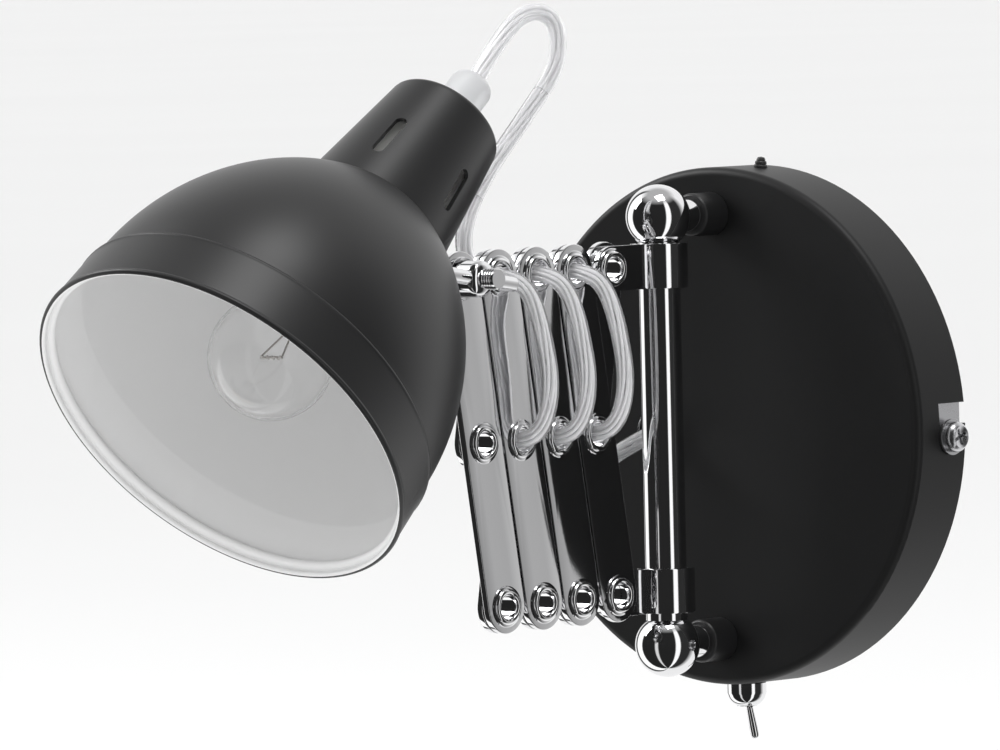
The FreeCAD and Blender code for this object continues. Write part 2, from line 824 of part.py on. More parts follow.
def make_shade():
    top = d.shade_length
    shoulder, neck_top, arc = shell_outline(ZERO, top)
    ceiling = top - d.shade_wall
    inner_shoulder, inner_top, inner_arc = shell_outline(d.shade_wall, ceiling)
    neck_edge = top - d.neck_round
    slope = (d.shoulder_radius - d.neck_top_radius) / (d.shade_length - d.shoulder_station)
    edge_radius = neck_top + slope * d.neck_round
    dome = turned("Dome", [
        (d.mouth_radius - d.shade_wall, ZERO),
        (d.mouth_radius, ZERO),
        (d.crease_radius + d.band_step, d.crease_station - d.band_step),
        (d.crease_radius, d.crease_station, arc, -1),
        (shoulder, d.shoulder_station),
        (inner_shoulder, d.shoulder_station, inner_arc, 1),
        (d.crease_radius - d.shade_wall, d.crease_station),
    ])
    lip = doc.addObject("Part::Torus", "Lip")
    bind(lip, "Radius1", d.mouth_radius - d.shade_wall / 2)
    bind(lip, "Radius2", d.lip_radius)
    keep("shade_dome", fused("ShadeDome", [on_shade_axis(dome, ZERO), on_shade_axis(lip, ZERO)]))
    neck = turned("ShadeNeck", [
        (inner_shoulder, d.shoulder_station),
        (shoulder, d.shoulder_station),
        (edge_radius, neck_edge),
        (edge_radius - d.neck_round, top),
        (d.grip_radius, top),
        (d.grip_radius, ceiling),
        (inner_top, ceiling),
    ])
    on_shade_axis(neck, ZERO)
    vents = []
    for number in range(VENTS):
        vents.append(vent(number))
    boss = along_bar(cylinder(d.boss_radius, d.bar_bite + d.shade_wall * 3), d.boss_start)
    inside = on_shade_axis(turned("NeckInside", [
        (ZERO, d.shoulder_station - d.neck_round * 4),
        (inner_shoulder, d.shoulder_station - d.neck_round * 4),
        (inner_shoulder, d.shoulder_station),
        (inner_top, ceiling),
        (ZERO, ceiling),
    ]), ZERO)
    bore = along_bar(cylinder(d.bar_radius, d.boss_start + d.bar_bite * 2), ZERO)
    outside_boss = cut("Boss", boss, [inside, dome])
    keep("shade_neck", cut("NeckCut", fused("NeckBlank", [neck, outside_boss]), vents + [bore]))


def vent(number):
    """One upright slot through the neck. The slots are evenly spread round it."""
    spread = d.vent_first + d.vent_spacing * number
    half = (d.vent_length - d.vent_width) / 2
    slot = plate("Vent", slot_outline(half, d.vent_width / 2), d.shoulder_radius, "XZ_Plane")
    put(slot, y=-(d.shoulder_radius * 0.9))
    turned_slot = group("VentTurned", [slot])
    put(turned_slot, axis=V(0, 0, 1), angle=spread)
    placed = group("VentPlaced", [turned_slot])
    return on_shade_axis(placed, d.vent_station)


def make_bar():
    length = d.bar_tail + d.boss_start + d.bar_bite
    bar = turned("Bar", [
        (ZERO, ZERO),
        (d.bar_radius - d.grub_sink / 2, ZERO),
        (d.bar_radius, d.grub_sink / 2),
        (d.bar_radius, length),
        (ZERO, length),
    ])
    keep("stem_bar", along_bar(bar, -d.bar_tail))
    nut = doc.addObject("Part::Prism", "Locknut")
    nut.Polygon = 6
    bind(nut, "Circumradius", d.locknut_radius)
    bind(nut, "Height", d.locknut_height)
    along_bar(nut, d.boss_start - d.locknut_height)
    bore = along_bar(cylinder(d.bar_radius, d.locknut_height * 3), d.boss_start - d.locknut_height * 2)
    keep("stem_locknut", cut("LocknutCut", nut, [bore]))


def make_lampholder():
    ceiling = d.shade_length - d.shade_wall
    floor = ceiling - d.holder_length
    body = turned("Holder", [
        (d.holder_bore, floor),
        (d.holder_radius, floor),
        (d.holder_radius, ceiling - d.holder_floor),
        (d.holder_radius - d.holder_floor / 2, ceiling),
        (d.cable_radius, ceiling),
        (d.cable_radius, ceiling - d.holder_floor),
        (d.holder_bore, ceiling - d.holder_floor),
    ])
    keep("lampholder", on_shade_axis(body, ZERO))
    contact = turned("Contact", [
        (d.cap_radius + d.pivot_fit, floor + d.ring_height),
        (d.holder_bore, floor + d.ring_height),
        (d.holder_bore, floor + d.ring_height + d.cap_length),
        (d.cap_radius + d.pivot_fit, floor + d.ring_height + d.cap_length),
    ])
    keep("holder_socket", on_shade_axis(contact, ZERO))
    ring = turned("Ring", [
        (d.holder_radius, floor),
        (d.ring_radius, floor),
        (d.ring_radius, floor + d.ring_height * 0.7),
        (d.ring_radius - d.ring_height * 0.3, floor + d.ring_height),
        (d.holder_radius, floor + d.ring_height),
    ])
    keep("holder_ring", on_shade_axis(ring, ZERO))
    grip = turned("Grip", [
        (d.cable_radius, ceiling),
        (d.grip_radius, ceiling),
        (d.grip_radius, d.shade_length + d.grip_length * 0.8),
        (d.grip_radius * 0.72, d.shade_length + d.grip_length),
        (d.cable_radius, d.shade_length + d.grip_length),
    ])
    keep("cord_grip", on_shade_axis(grip, ZERO))
    nut = turned("GripNut", [
        (d.grip_radius, d.shade_length),
        (d.grip_nut_radius, d.shade_length),
        (d.grip_nut_radius, d.shade_length + d.grip_nut_height),
        (d.grip_radius, d.shade_length + d.grip_nut_height),
    ])
    keep("grip_nut", on_shade_axis(nut, ZERO))


def make_bulb():
    ceiling = d.shade_length - d.shade_wall
    floor = ceiling - d.holder_length + d.ring_height
    cap_top = floor + d.cap_length
    cap = turned("Cap", [
        (ZERO, floor),
        (d.cap_radius, floor),
        (d.cap_radius, cap_top - d.ring_height * 0.6),
        (d.cap_radius * 0.45, cap_top),
        (ZERO, cap_top),
    ])
    keep("bulb_cap", on_shade_axis(cap, ZERO))
    top = floor
    centre = d.bulb_station
    rise = root(d.bulb_radius * d.bulb_radius - d.bulb_neck * d.bulb_neck)
    inner_radius = d.bulb_radius - d.bulb_glass
    inner_neck = d.bulb_neck - d.bulb_glass
    inner_rise = root(inner_radius * inner_radius - inner_neck * inner_neck)
    glass = turned("Glass", [
        (ZERO, centre - d.bulb_radius, d.bulb_radius, -1),
        (d.bulb_radius, centre, d.bulb_radius, -1),
        (d.bulb_neck, centre + rise),
        (d.bulb_neck, top),
        (inner_neck, top),
        (inner_neck, centre + inner_rise, inner_radius, 1),
        (inner_radius, centre, inner_radius, 1),
        (ZERO, centre - inner_radius),
    ])
    keep("bulb_glass", on_shade_axis(glass, ZERO))
    stem_end = d.bulb_station + d.stem_glass_length * 0.6
    stem = turned("Stem", [
        (ZERO, stem_end),
        (d.stem_glass * 0.5, stem_end),
        (d.stem_glass, stem_end + d.stem_glass * 2),
        (d.stem_glass, top),
        (ZERO, top),
    ])
    on_shade_axis(stem, ZERO)
    wires = []
    coil_station = d.bulb_station
    half = d.filament_spread / 2
    for side in (1, -1):
        wire = cylinder(d.support_radius, stem_end - coil_station + d.filament_radius)
        put(wire, x=half * side * 0.9)
        lift = group("WireLift", [wire])
        wires.append(on_shade_axis(lift, coil_station))
    coil = cylinder(d.filament_radius, d.filament_spread, x=-half, **ALONG_X)
    wires.append(on_shade_axis(group("CoilLift", [coil]), coil_station))
    keep("bulb_mount", group("BulbMount", [stem, fused("Filament", wires)]))


def make_toggle():
    wall = d.canopy_radius - d.canopy_wall
    outside = -d.canopy_radius
    half = d.toggle_box / 2
    seat = root(wall * wall - d.toggle_nut_radius * d.toggle_nut_radius)
    bottom = -(seat - d.toggle_inner_nut)
    case = slab((-half, half), (-(d.toggle_y + d.toggle_box / 3), -(d.toggle_y - d.toggle_box / 3)),
                (bottom, bottom + d.toggle_box_height))
    nut = turned("InnerNut", [
        (d.toggle_bush, ZERO),
        (d.toggle_nut_radius, ZERO),
        (d.toggle_nut_radius, d.toggle_inner_nut),
        (d.toggle_bush, d.toggle_inner_nut),
    ])
    keep("toggle_inner_nut", put(nut, y=-d.toggle_y, z=bottom, **DOWNWARD))
    bush_length = d.canopy_radius + bottom + d.toggle_nut_height * 0.75
    bush = turned("ToggleBush", [
        (d.toggle_mouth, ZERO),
        (d.toggle_bush, ZERO),
        (d.toggle_bush, bush_length),
        (d.toggle_mouth, bush_length),
    ])
    put(bush, y=-d.toggle_y, z=bottom, **DOWNWARD)
    keep("toggle_case", fused("ToggleBody", [case, bush]))
    height = d.toggle_nut_height
    dome = turned("DomeNut", [
        (d.toggle_bush, ZERO),
        (d.toggle_nut_radius, ZERO),
        (d.toggle_nut_radius, height * 0.45),
        (d.toggle_nut_radius * 0.86, height * 0.8),
        (d.toggle_nut_radius * 0.6, height),
        (d.toggle_bush, height),
    ])
    keep("toggle_dome_nut", put(dome, y=-d.toggle_y, z=outside, **DOWNWARD))
    lever_end = d.toggle_nut_height - d.lever_pivot + d.lever_length
    stalk = d.lever_radius * 0.8
    lever = turned("Lever", [
        (ZERO, -d.lever_ball, d.lever_ball, -1),
        (d.lever_ball, ZERO, d.lever_ball, -1),
        (stalk, root(d.lever_ball * d.lever_ball - stalk * stalk)),
        (d.lever_radius, lever_end * 0.8),
        (stalk, lever_end),
        (ZERO, lever_end),
    ])
    put(lever, y=-d.toggle_y, z=outside - d.lever_pivot, axis=V(0, 1, 0), angle=RIGHT * 2 - d.toggle_lean)
    keep("toggle_lever", lever)


def make_plug_and_bush():
    steps = [(ZERO, -(d.canopy_wall * 2)), (d.plug_stem, -(d.canopy_wall * 2)), (d.plug_stem, ZERO)]
    for rib in range(3):
        wide = d.plug_radius * (1 - 0.16 * rib)
        steps.append((wide, d.plug_height / 3 * rib))
        steps.append((wide * 0.95, d.plug_height / 3 * (rib + 0.7)))
        if rib < 2:
            steps.append((wide * 0.78, d.plug_height / 3 * (rib + 1)))
    steps.append((ZERO, d.plug_height))
    plug = turned("Plug", steps)
    seat = d.canopy_radius
    put(plug, x=seat * sine(d.plug_angle), y=-d.plug_y, z=seat * cosine(d.plug_angle),
        axis=V(0, 1, 0), angle=d.plug_angle)
    keep("entry_plug", plug)
    face = d.bush_sheet
    bush = turned("CableBush", [
        (d.cable_radius, -d.bush_length),
        (d.bush_radius, -d.bush_length),
        (d.bush_radius, ZERO),
        (d.bush_flange, ZERO),
        (d.bush_flange, face),
        (d.bush_radius, face + d.bush_length),
        (d.cable_radius, face + d.bush_length),
    ])
    keep("cable_bush", put(bush, x=-d.bush_x, y=-d.canopy_depth, z=-d.bush_drop, **OUTWARD))


# --- cable: straight runs joined by arcs, with its points chosen by hand ---------------------

def spot(x, place, y=0.0, z=0.0):
    """A route point: a pivot's place, moved."""
    return V(x, place[0].number + y, place[1].number + z)


def cable(label, points):
    """A round tube along the points, with each corner an arc that takes 45% of its shorter run."""
    radius = sheet.get("cable_radius")
    edges = []
    here = points[0]
    for before, corner, after in zip(points, points[1:], points[2:]):
        back = (before - corner).normalize()
        on = (after - corner).normalize()
        short = min((before - corner).Length, (after - corner).Length)
        reach = short * 0.45
        start = corner + back * reach
        end = corner + on * reach
        half_turn = (math.pi - back.getAngle(on)) / 2
        bend = reach / math.tan(half_turn)
        centre_way = (back + on).normalize()
        middle = corner + centre_way * (bend / math.cos(half_turn) - bend)
        print("%s bend radius %.1f" % (label, bend))
        edges.append(Part.LineSegment(here, start).toShape())
        edges.append(Part.Arc(start, middle, end).toShape())
        here = end
    edges.append(Part.LineSegment(here, points[-1]).toShape())
    wire = Part.Wire(edges)
    way = points[1] - points[0]
    circle = Part.Wire(Part.Circle(points[0], way, radius).toShape())
    tube = wire.makePipeShell([circle], True, False, 2)
    feature = doc.addObject("Part::Feature", label)
    feature.Shape = tube
    feature.Placement = FreeCAD.Placement()
    print("%s length %.1f volume error %.3f" % (
        label, wire.Length, tube.Volume / (math.pi * radius ** 2 * wire.Length) - 1))
    keep(label, feature)


def make_cable():
    bush_end = d.canopy_depth.number + d.bush_sheet.number + d.bush_length.number
    bush = V(-d.bush_x.number, -bush_end, -d.bush_drop.number)
    out = V(-20.5, -38.0, -5.0)
    droop = V(-17.5, -58.0, -12.5)
    waist = out + (droop - out) * 0.65
    entry = middle_pivot(0)
    cable("cable_inlet", [bush, out, waist])
    cable("cable_slack", [waist, droop, spot(-13.0, entry), spot(0, entry)])
    for number in range(3):
        low, high = middle_pivot(number), upper_pivot(number + 1)
        cable("cable_front_%d" % number, [
            spot(0, low),
            spot(8.6, low),
            spot(11.5, low, 3.4, 14.0),
            spot(11.0, high, 7.6, -13.5),
            spot(6.8, high, 6.6, -3.2),
            spot(4.6, high),
            spot(0, high),
        ])
    for number in (1, 2):
        low, high = middle_pivot(number), upper_pivot(number)
        cable("cable_back_%d" % number, [
            spot(0, high),
            spot(-8.4, high),
            spot(-10.2, high, 0.5, -16.0),
            spot(-10.2, low, 2.0, 15.0),
            spot(-8.4, low),
            spot(0, low),
        ])
    start = upper_pivot(3)
    gland_y, gland_z = shade_point(d.shade_length + d.grip_length)
    gland = V(bar_x.number, gland_y.number, gland_z.number)
    route = [
        spot(0, start),
        spot(-8.6, start),
        spot(-10.0, start, -2.5, 13.0),
        V(-9.0, -110.0, 76.0),
        V(-6.5, -95.0, 92.0),
        V(-3.0, -84.0, 106.0),
        V(0.0, -87.5, 119.0),
        V(3.5, -102.0, 123.0),
        V(7.0, -119.0, 117.0),
        gland,
    ]
    first_cut = route[2] + (route[3] - route[2]) * 0.6
    second_cut = (route[4] + route[5]) * 0.5
    cable("cable_rise", route[:3] + [first_cut])
    cable("cable_climb", [first_cut] + route[3:5] + [second_cut])
    cable("cable_loop", [second_cut] + route[5:])


def main():
    make_canopy()
    make_bracket()
    make_rim_screws()
    make_terminals()
    make_rod()
    make_arm()
    make_knuckle()
    make_bar()
    make_shade()
    make_lampholder()
    make_bulb()
    make_toggle()
    make_plug_and_bush()
    make_cable()
    doc.recompute()
    os.makedirs("parts", exist_ok=True)
    for feature in doc.Objects:
        if "Invalid" in feature.State or "Error" in feature.State:
            raise RuntimeError("%s (%s) did not build: %s" % (feature.Name, feature.Label, feature.State))
    for label, feature in nodes.items():
        shape = feature.Shape
        if shape.isNull() or not shape.isValid():
            raise RuntimeError("%s has no valid shape" % label)
        shape.exportStep("parts/%s.step" % label)
        print("%-22s %9.1f mm3 %d" % (label, shape.Volume, len(shape.Solids)))


main()
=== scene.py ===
# %% [markdown]
# # Swing arm wall sconce
# A bell-shaped shade sits on a chrome scissor arm that opens, closes and swings on an upright rod in front of
# a round wall canopy. The engineering model is loaded first. It is the fixed frame: its solids stay where they
# are, and each new piece is built where the frame says and rides on one of its bodies.

# %% Load the frame
import json
import math

import bmesh
import bpy
from mathutils import Matrix, Vector

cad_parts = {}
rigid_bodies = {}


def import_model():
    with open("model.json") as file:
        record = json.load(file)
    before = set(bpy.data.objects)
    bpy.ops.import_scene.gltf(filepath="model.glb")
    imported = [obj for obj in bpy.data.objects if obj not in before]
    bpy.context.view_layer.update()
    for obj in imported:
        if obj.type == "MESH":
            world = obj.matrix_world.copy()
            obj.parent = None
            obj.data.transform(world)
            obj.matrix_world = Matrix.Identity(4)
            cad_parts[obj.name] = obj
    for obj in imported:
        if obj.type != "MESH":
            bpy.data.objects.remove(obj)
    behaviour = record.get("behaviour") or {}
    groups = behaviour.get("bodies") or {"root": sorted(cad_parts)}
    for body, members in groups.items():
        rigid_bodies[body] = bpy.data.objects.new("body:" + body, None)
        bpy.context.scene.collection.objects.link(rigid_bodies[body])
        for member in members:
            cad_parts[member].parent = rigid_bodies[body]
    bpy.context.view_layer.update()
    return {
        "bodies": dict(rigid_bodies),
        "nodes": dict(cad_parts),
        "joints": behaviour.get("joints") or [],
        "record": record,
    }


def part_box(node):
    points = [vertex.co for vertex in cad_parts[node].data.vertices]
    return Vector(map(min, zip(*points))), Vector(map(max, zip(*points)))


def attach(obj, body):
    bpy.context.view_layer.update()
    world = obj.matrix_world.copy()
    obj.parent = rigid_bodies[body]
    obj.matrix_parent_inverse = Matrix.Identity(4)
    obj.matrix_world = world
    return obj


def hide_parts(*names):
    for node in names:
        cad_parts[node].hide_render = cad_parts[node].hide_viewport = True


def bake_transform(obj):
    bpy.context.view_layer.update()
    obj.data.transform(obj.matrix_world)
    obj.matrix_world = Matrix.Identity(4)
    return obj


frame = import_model()
MM = 0.001
JOINTS = {joint["name"]: joint for joint in frame["joints"]}

# %% [markdown]
# The joints give every pivot of the arm, so no place is typed twice. The upper row is numbered from the collar
# outwards, the middle row is where the links cross, and the lower row mirrors the upper one.

# %% Places that the pieces share
upper = [Vector(JOINTS["arm_extend"]["pos_m"])]
upper += [Vector(JOINTS["fold_upper_%d" % number]["pos_m"]) for number in (1, 2, 3)]
upper += [Vector(JOINTS["head_tilt"]["pos_m"])]
middle = [Vector(JOINTS["fold_middle_%d" % number]["pos_m"]) for number in range(4)]
lower = [Vector((0, point.y, 2 * middle[0].z - point.z)) for point in upper[:4]]
rod = Vector(JOINTS["arm_swing"]["pos_m"])
head = Vector(JOINTS["head_turn"]["pos_m"])
bar_way = Vector(JOINTS["head_turn"]["axis"])
canopy_low, canopy_high = (Vector(corner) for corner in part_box("wall_canopy"))
CANOPY_RADIUS = canopy_high.z
CANOPY_DEPTH = -canopy_low.y
HEAD_ANGLE = math.radians(40.0)
SHADE_OFFSET = 41.8 * MM
PIVOT_STATION = 104.6 * MM
shade_up = Vector((0, math.cos(HEAD_ANGLE), math.sin(HEAD_ANGLE)))
shade_back = Vector((0, math.sin(HEAD_ANGLE), -math.cos(HEAD_ANGLE)))
mouth = head - shade_up * PIVOT_STATION - shade_back * SHADE_OFFSET
print("pivots", len(upper), len(middle), len(lower), "mouth", [round(v, 4) for v in mouth])

# %% [markdown]
# The camera stands where a person would look at the lamp from its right, three metres off with a long lens,
# so that the canopy stays nearly round. It is made first, because the loose cable is checked against its view.

# %% Camera
AZIMUTH = math.radians(41.386)
ELEVATION = math.radians(2.684)
ROLL = math.radians(-1.32)
DISTANCE = 3.0
LENS = 371.2
AIM_RIGHT = -76.8 * MM
AIM_UP = 13.8 * MM

back = Vector((
    math.sin(AZIMUTH) * math.cos(ELEVATION),
    -math.cos(AZIMUTH) * math.cos(ELEVATION),
    math.sin(ELEVATION),
))
flat_right = Vector((0, 0, 1)).cross(back).normalized()
flat_up = back.cross(flat_right)
right = flat_right * math.cos(ROLL) + flat_up * math.sin(ROLL)
up = flat_up * math.cos(ROLL) - flat_right * math.sin(ROLL)
camera_data = bpy.data.cameras.new("camera")
camera_data.lens = LENS
camera_data.sensor_width = 36.0
camera_data.clip_end = 200.0
camera = bpy.data.objects.new("camera", camera_data)
bpy.context.scene.collection.objects.link(camera)
place = back * DISTANCE + right * AIM_RIGHT + up * AIM_UP
camera.matrix_world = Matrix.Translation(place) @ Matrix((right, up, back)).transposed().to_4x4()
bpy.context.scene.camera = camera
print("camera at", [round(v, 3) for v in place])

# %% [markdown]
# Every finish has small unevenness that only shows in its highlights: a plated or painted sheet isn't a
# mathematical surface. One node group holds that unevenness, and each material places it with its own values.

# %% Shared effects
def socket(group, name, way, kind="NodeSocketFloat", value=None):
    """Adds one socket to a node group."""
    made = group.interface.new_socket(name=name, in_out=way, socket_type=kind)
    if value is not None:
        made.default_value = value
    return made


def surface_group():
    """Slow waves and fine grain, from Object coordinates."""
    group = bpy.data.node_groups.new("surface", "ShaderNodeTree")
    socket(group, "Wave Scale", "INPUT", value=30.0)
    socket(group, "Grain Scale", "INPUT", value=2500.0)
    socket(group, "Wave", "INPUT", value=0.5)
    socket(group, "Grain", "INPUT", value=0.5)
    socket(group, "Height", "OUTPUT")
    socket(group, "Patches", "OUTPUT")
    nodes, links = group.nodes, group.links
    enter = nodes.new("NodeGroupInput")
    leave = nodes.new("NodeGroupOutput")
    where = nodes.new("ShaderNodeTexCoord")
    wave = nodes.new("ShaderNodeTexNoise")
    wave.inputs["Detail"].default_value = 2.0
    grain = nodes.new("ShaderNodeTexNoise")
    grain.inputs["Detail"].default_value = 3.0
    for texture, name in ((wave, "Wave Scale"), (grain, "Grain Scale")):
        links.new(where.outputs["Object"], texture.inputs["Vector"])
        links.new(enter.outputs[name], texture.inputs["Scale"])
    wave_part = nodes.new("ShaderNodeMath")
    wave_part.operation = "MULTIPLY"
    links.new(wave.outputs["Fac"], wave_part.inputs[0])
    links.new(enter.outputs["Wave"], wave_part.inputs[1])
    both = nodes.new("ShaderNodeMath")
    both.operation = "MULTIPLY_ADD"
    links.new(grain.outputs["Fac"], both.inputs[0])
    links.new(enter.outputs["Grain"], both.inputs[1])
    links.new(wave_part.outputs[0], both.inputs[2])
    links.new(both.outputs[0], leave.inputs["Height"])
    links.new(wave.outputs["Fac"], leave.inputs["Patches"])
    return group


SURFACE = surface_group()


def spread(nodes, links, source, low, high):
    """Maps a mask from 0..1 to low..high."""
    node = nodes.new("ShaderNodeMapRange")
    node.inputs["To Min"].default_value = low
    node.inputs["To Max"].default_value = high
    links.new(source, node.inputs["Value"])
    return node.outputs["Result"]


def tone(nodes, links, source, dark, light):
    """Mixes two colours by a mask."""
    node = nodes.new("ShaderNodeMix")
    node.data_type = "RGBA"
    node.inputs["A"].default_value = (*dark, 1)
    node.inputs["B"].default_value = (*light, 1)
    links.new(source, node.inputs["Factor"])
    return node.outputs["Result"]


def finish(name, dark, light, rough, metallic=0.0, wave_scale=30.0, grain_scale=2500.0, wave=0.5, grain=0.5,
           bump=0.1, depth=0.0001, **sockets):
    """A Principled material whose colour, roughness and height vary a little over the surface."""
    material = bpy.data.materials.new(name)
    material.use_nodes = True
    nodes, links = material.node_tree.nodes, material.node_tree.links
    shader = nodes["Principled BSDF"]
    surface = nodes.new("ShaderNodeGroup")
    surface.node_tree = SURFACE
    for key, value in (("Wave Scale", wave_scale), ("Grain Scale", grain_scale), ("Wave", wave), ("Grain", grain)):
        surface.inputs[key].default_value = value
    links.new(tone(nodes, links, surface.outputs["Patches"], dark, light), shader.inputs["Base Color"])
    links.new(spread(nodes, links, surface.outputs["Patches"], *rough), shader.inputs["Roughness"])
    shader.inputs["Metallic"].default_value = metallic
    height = nodes.new("ShaderNodeBump")
    height.inputs["Strength"].default_value = bump
    height.inputs["Distance"].default_value = depth
    links.new(surface.outputs["Height"], height.inputs["Height"])
    links.new(height.outputs["Normal"], shader.inputs["Normal"])
    for key, value in sockets.items():
        shader.inputs[key.replace("_", " ")].default_value = value
    return material


# %% [markdown]
# The finishes: polished chrome, matt black stoving paint, white enamel inside the shade, clear plastic for the
# cable's sheath, bright zinc, brass and black moulded plastic.

# %% Materials
CHROME = finish("chrome", (0.80, 0.80, 0.81), (0.86, 0.86, 0.87), (0.03, 0.07), metallic=1.0, bump=0.03)
BLACK_PAINT = finish("black_paint", (0.009, 0.009, 0.0095), (0.013, 0.013, 0.0135), (0.36, 0.42), wave_scale=12.0,
                     grain_scale=1800.0, bump=0.12, Specular_IOR_Level=0.5)
CANOPY_PAINT = finish("canopy_paint", (0.005, 0.005, 0.0053), (0.008, 0.008, 0.0084), (0.44, 0.5), wave_scale=9.0,
                      grain_scale=1500.0, bump=0.2, Specular_IOR_Level=0.35)
WHITE_ENAMEL = finish("white_enamel", (0.74, 0.74, 0.74), (0.8, 0.8, 0.8), (0.3, 0.38), wave_scale=14.0, bump=0.05)
ZINC = finish("zinc", (0.55, 0.55, 0.57), (0.7, 0.7, 0.71), (0.22, 0.34), metallic=1.0, wave_scale=60.0, bump=0.1)
BRASS = finish("brass", (0.62, 0.46, 0.22), (0.72, 0.55, 0.28), (0.2, 0.32), metallic=1.0, wave_scale=60.0)
BLACK_PLASTIC = finish("black_plastic", (0.02, 0.02, 0.02), (0.028, 0.028, 0.028), (0.35, 0.45), bump=0.2)
WHITE_PLASTIC = finish("white_plastic", (0.75, 0.75, 0.73), (0.82, 0.82, 0.8), (0.35, 0.45))
CLEAR_PLASTIC = finish("clear_plastic", (0.9, 0.91, 0.92), (0.96, 0.96, 0.97), (0.05, 0.1), bump=0.05,
                       Transmission_Weight=1.0, IOR=1.45)
GLASS = finish("bulb_glass", (0.98, 0.98, 0.98), (1.0, 1.0, 1.0), (0.0, 0.01), bump=0.01,
               Transmission_Weight=1.0, IOR=1.45)
FROSTED = finish("frosted_plastic", (0.8, 0.81, 0.82), (0.88, 0.88, 0.89), (0.34, 0.42), bump=0.1,
                 Transmission_Weight=0.55, IOR=1.3)
SHEATH = finish("sheath", (0.95, 0.95, 0.96), (0.98, 0.98, 0.99), (0.08, 0.14), bump=0.03,
                Transmission_Weight=0.82, IOR=1.2)
CORE = finish("core", (0.74, 0.74, 0.75), (0.86, 0.86, 0.87), (0.25, 0.35), metallic=0.35, wave_scale=300.0)
WIRE = finish("wire", (0.3, 0.29, 0.27), (0.42, 0.4, 0.38), (0.3, 0.4), metallic=1.0)

SLOT_FINISH = {
    "black_paint": BLACK_PAINT,
    "chrome": CHROME,
    "zinc_steel": ZINC,
    "brass": BRASS,
    "black_plastic": BLACK_PLASTIC,
    "white_plastic": WHITE_PLASTIC,
    "clear_plastic": CLEAR_PLASTIC,
    "bulb_glass": GLASS,
    "filament": WIRE,
}
for subpart in frame["record"]["subparts"]:
    mesh = frame["nodes"][subpart["node"]].data
    mesh.materials.clear()
    mesh.materials.append(SLOT_FINISH[subpart["material_slot"]])
frame["nodes"]["wall_canopy"].data.materials[0] = CANOPY_PAINT
print("finishes", len(SLOT_FINISH))

# %% [markdown]
# Soft studio light: a big softbox to the left, a smaller one above, and a pale floor far below. What chrome
# shows
# is the room round it, so the room has a part to play: white paper behind the lamp, and on the camera's side a
# dark room with tall bright panels. The world gives mirrors that room and gives everything else plain white.

# %% Light and floor
def lamp(name, place, aim, size, power):
    """A square area light."""
    data = bpy.data.lights.new(name, "AREA")
    data.shape = "SQUARE"
    data.size = size
    data.energy = power
    lamp_object = bpy.data.objects.new(name, data)
    bpy.context.scene.collection.objects.link(lamp_object)
    way = Vector(place) - Vector(aim)
    lamp_object.matrix_world = Matrix.Translation(place) @ way.to_track_quat("Z", "Y").to_matrix().to_4x4()
    return lamp_object


PANELS = [
    (0.000, 1.0), (0.190, 1.0), (0.205, 0.04), (0.230, 0.04), (0.240, 1.3), (0.320, 1.3), (0.330, 0.02),
    (0.480, 0.02), (0.490, 0.8), (0.512, 0.8), (0.522, 0.02), (0.690, 0.02), (0.700, 1.2), (0.740, 1.2),
    (0.750, 0.03),
    (0.855, 0.03), (0.925, 1.0), (1.000, 1.0),
]


def studio_room(tree):
    """White for all rays, but reflections see panels round the horizon and a bright ceiling."""
    nodes, links = tree.nodes, tree.links
    light = nodes["Background"]
    where = nodes.new("ShaderNodeTexCoord")
    parts = nodes.new("ShaderNodeSeparateXYZ")
    links.new(where.outputs["Generated"], parts.inputs[0])
    ahead = nodes.new("ShaderNodeMath")
    ahead.operation = "MULTIPLY"
    ahead.inputs[1].default_value = -1.0
    links.new(parts.outputs["Y"], ahead.inputs[0])
    angle = nodes.new("ShaderNodeMath")
    angle.operation = "ARCTAN2"
    links.new(parts.outputs["X"], angle.inputs[0])
    links.new(ahead.outputs[0], angle.inputs[1])
    share = nodes.new("ShaderNodeMapRange")
    share.inputs["From Min"].default_value = -math.pi
    share.inputs["From Max"].default_value = math.pi
    links.new(angle.outputs[0], share.inputs["Value"])
    panels = nodes.new("ShaderNodeValToRGB")
    stops = panels.color_ramp.elements
    for stop, (position, bright) in enumerate(PANELS):
        element = stops[0] if stop == 0 else stops.new(position)
        element.position = position
        element.color = (bright, bright, bright, 1)
    stops.remove(stops[len(stops) - 1])
    links.new(share.outputs["Result"], panels.inputs["Fac"])
    ceiling_mask = nodes.new("ShaderNodeMapRange")
    ceiling_mask.inputs["From Min"].default_value = 0.7
    ceiling_mask.inputs["From Max"].default_value = 0.9
    links.new(parts.outputs["Z"], ceiling_mask.inputs["Value"])
    room = nodes.new("ShaderNodeMix")
    room.data_type = "RGBA"
    room.inputs["B"].default_value = (0.5, 0.5, 0.5, 1)
    links.new(ceiling_mask.outputs["Result"], room.inputs["Factor"])
    links.new(panels.outputs["Color"], room.inputs["A"])
    rays = nodes.new("ShaderNodeLightPath")
    mirrored = nodes.new("ShaderNodeMath")
    mirrored.operation = "SUBTRACT"
    mirrored.use_clamp = True
    links.new(rays.outputs["Is Glossy Ray"], mirrored.inputs[0])
    links.new(rays.outputs["Is Transmission Ray"], mirrored.inputs[1])
    seen = nodes.new("ShaderNodeMix")
    seen.data_type = "RGBA"
    seen.inputs["A"].default_value = (1, 1, 1, 1)
    links.new(mirrored.outputs[0], seen.inputs["Factor"])
    links.new(room.outputs["Result"], seen.inputs["B"])
    links.new(seen.outputs["Result"], light.inputs["Color"])


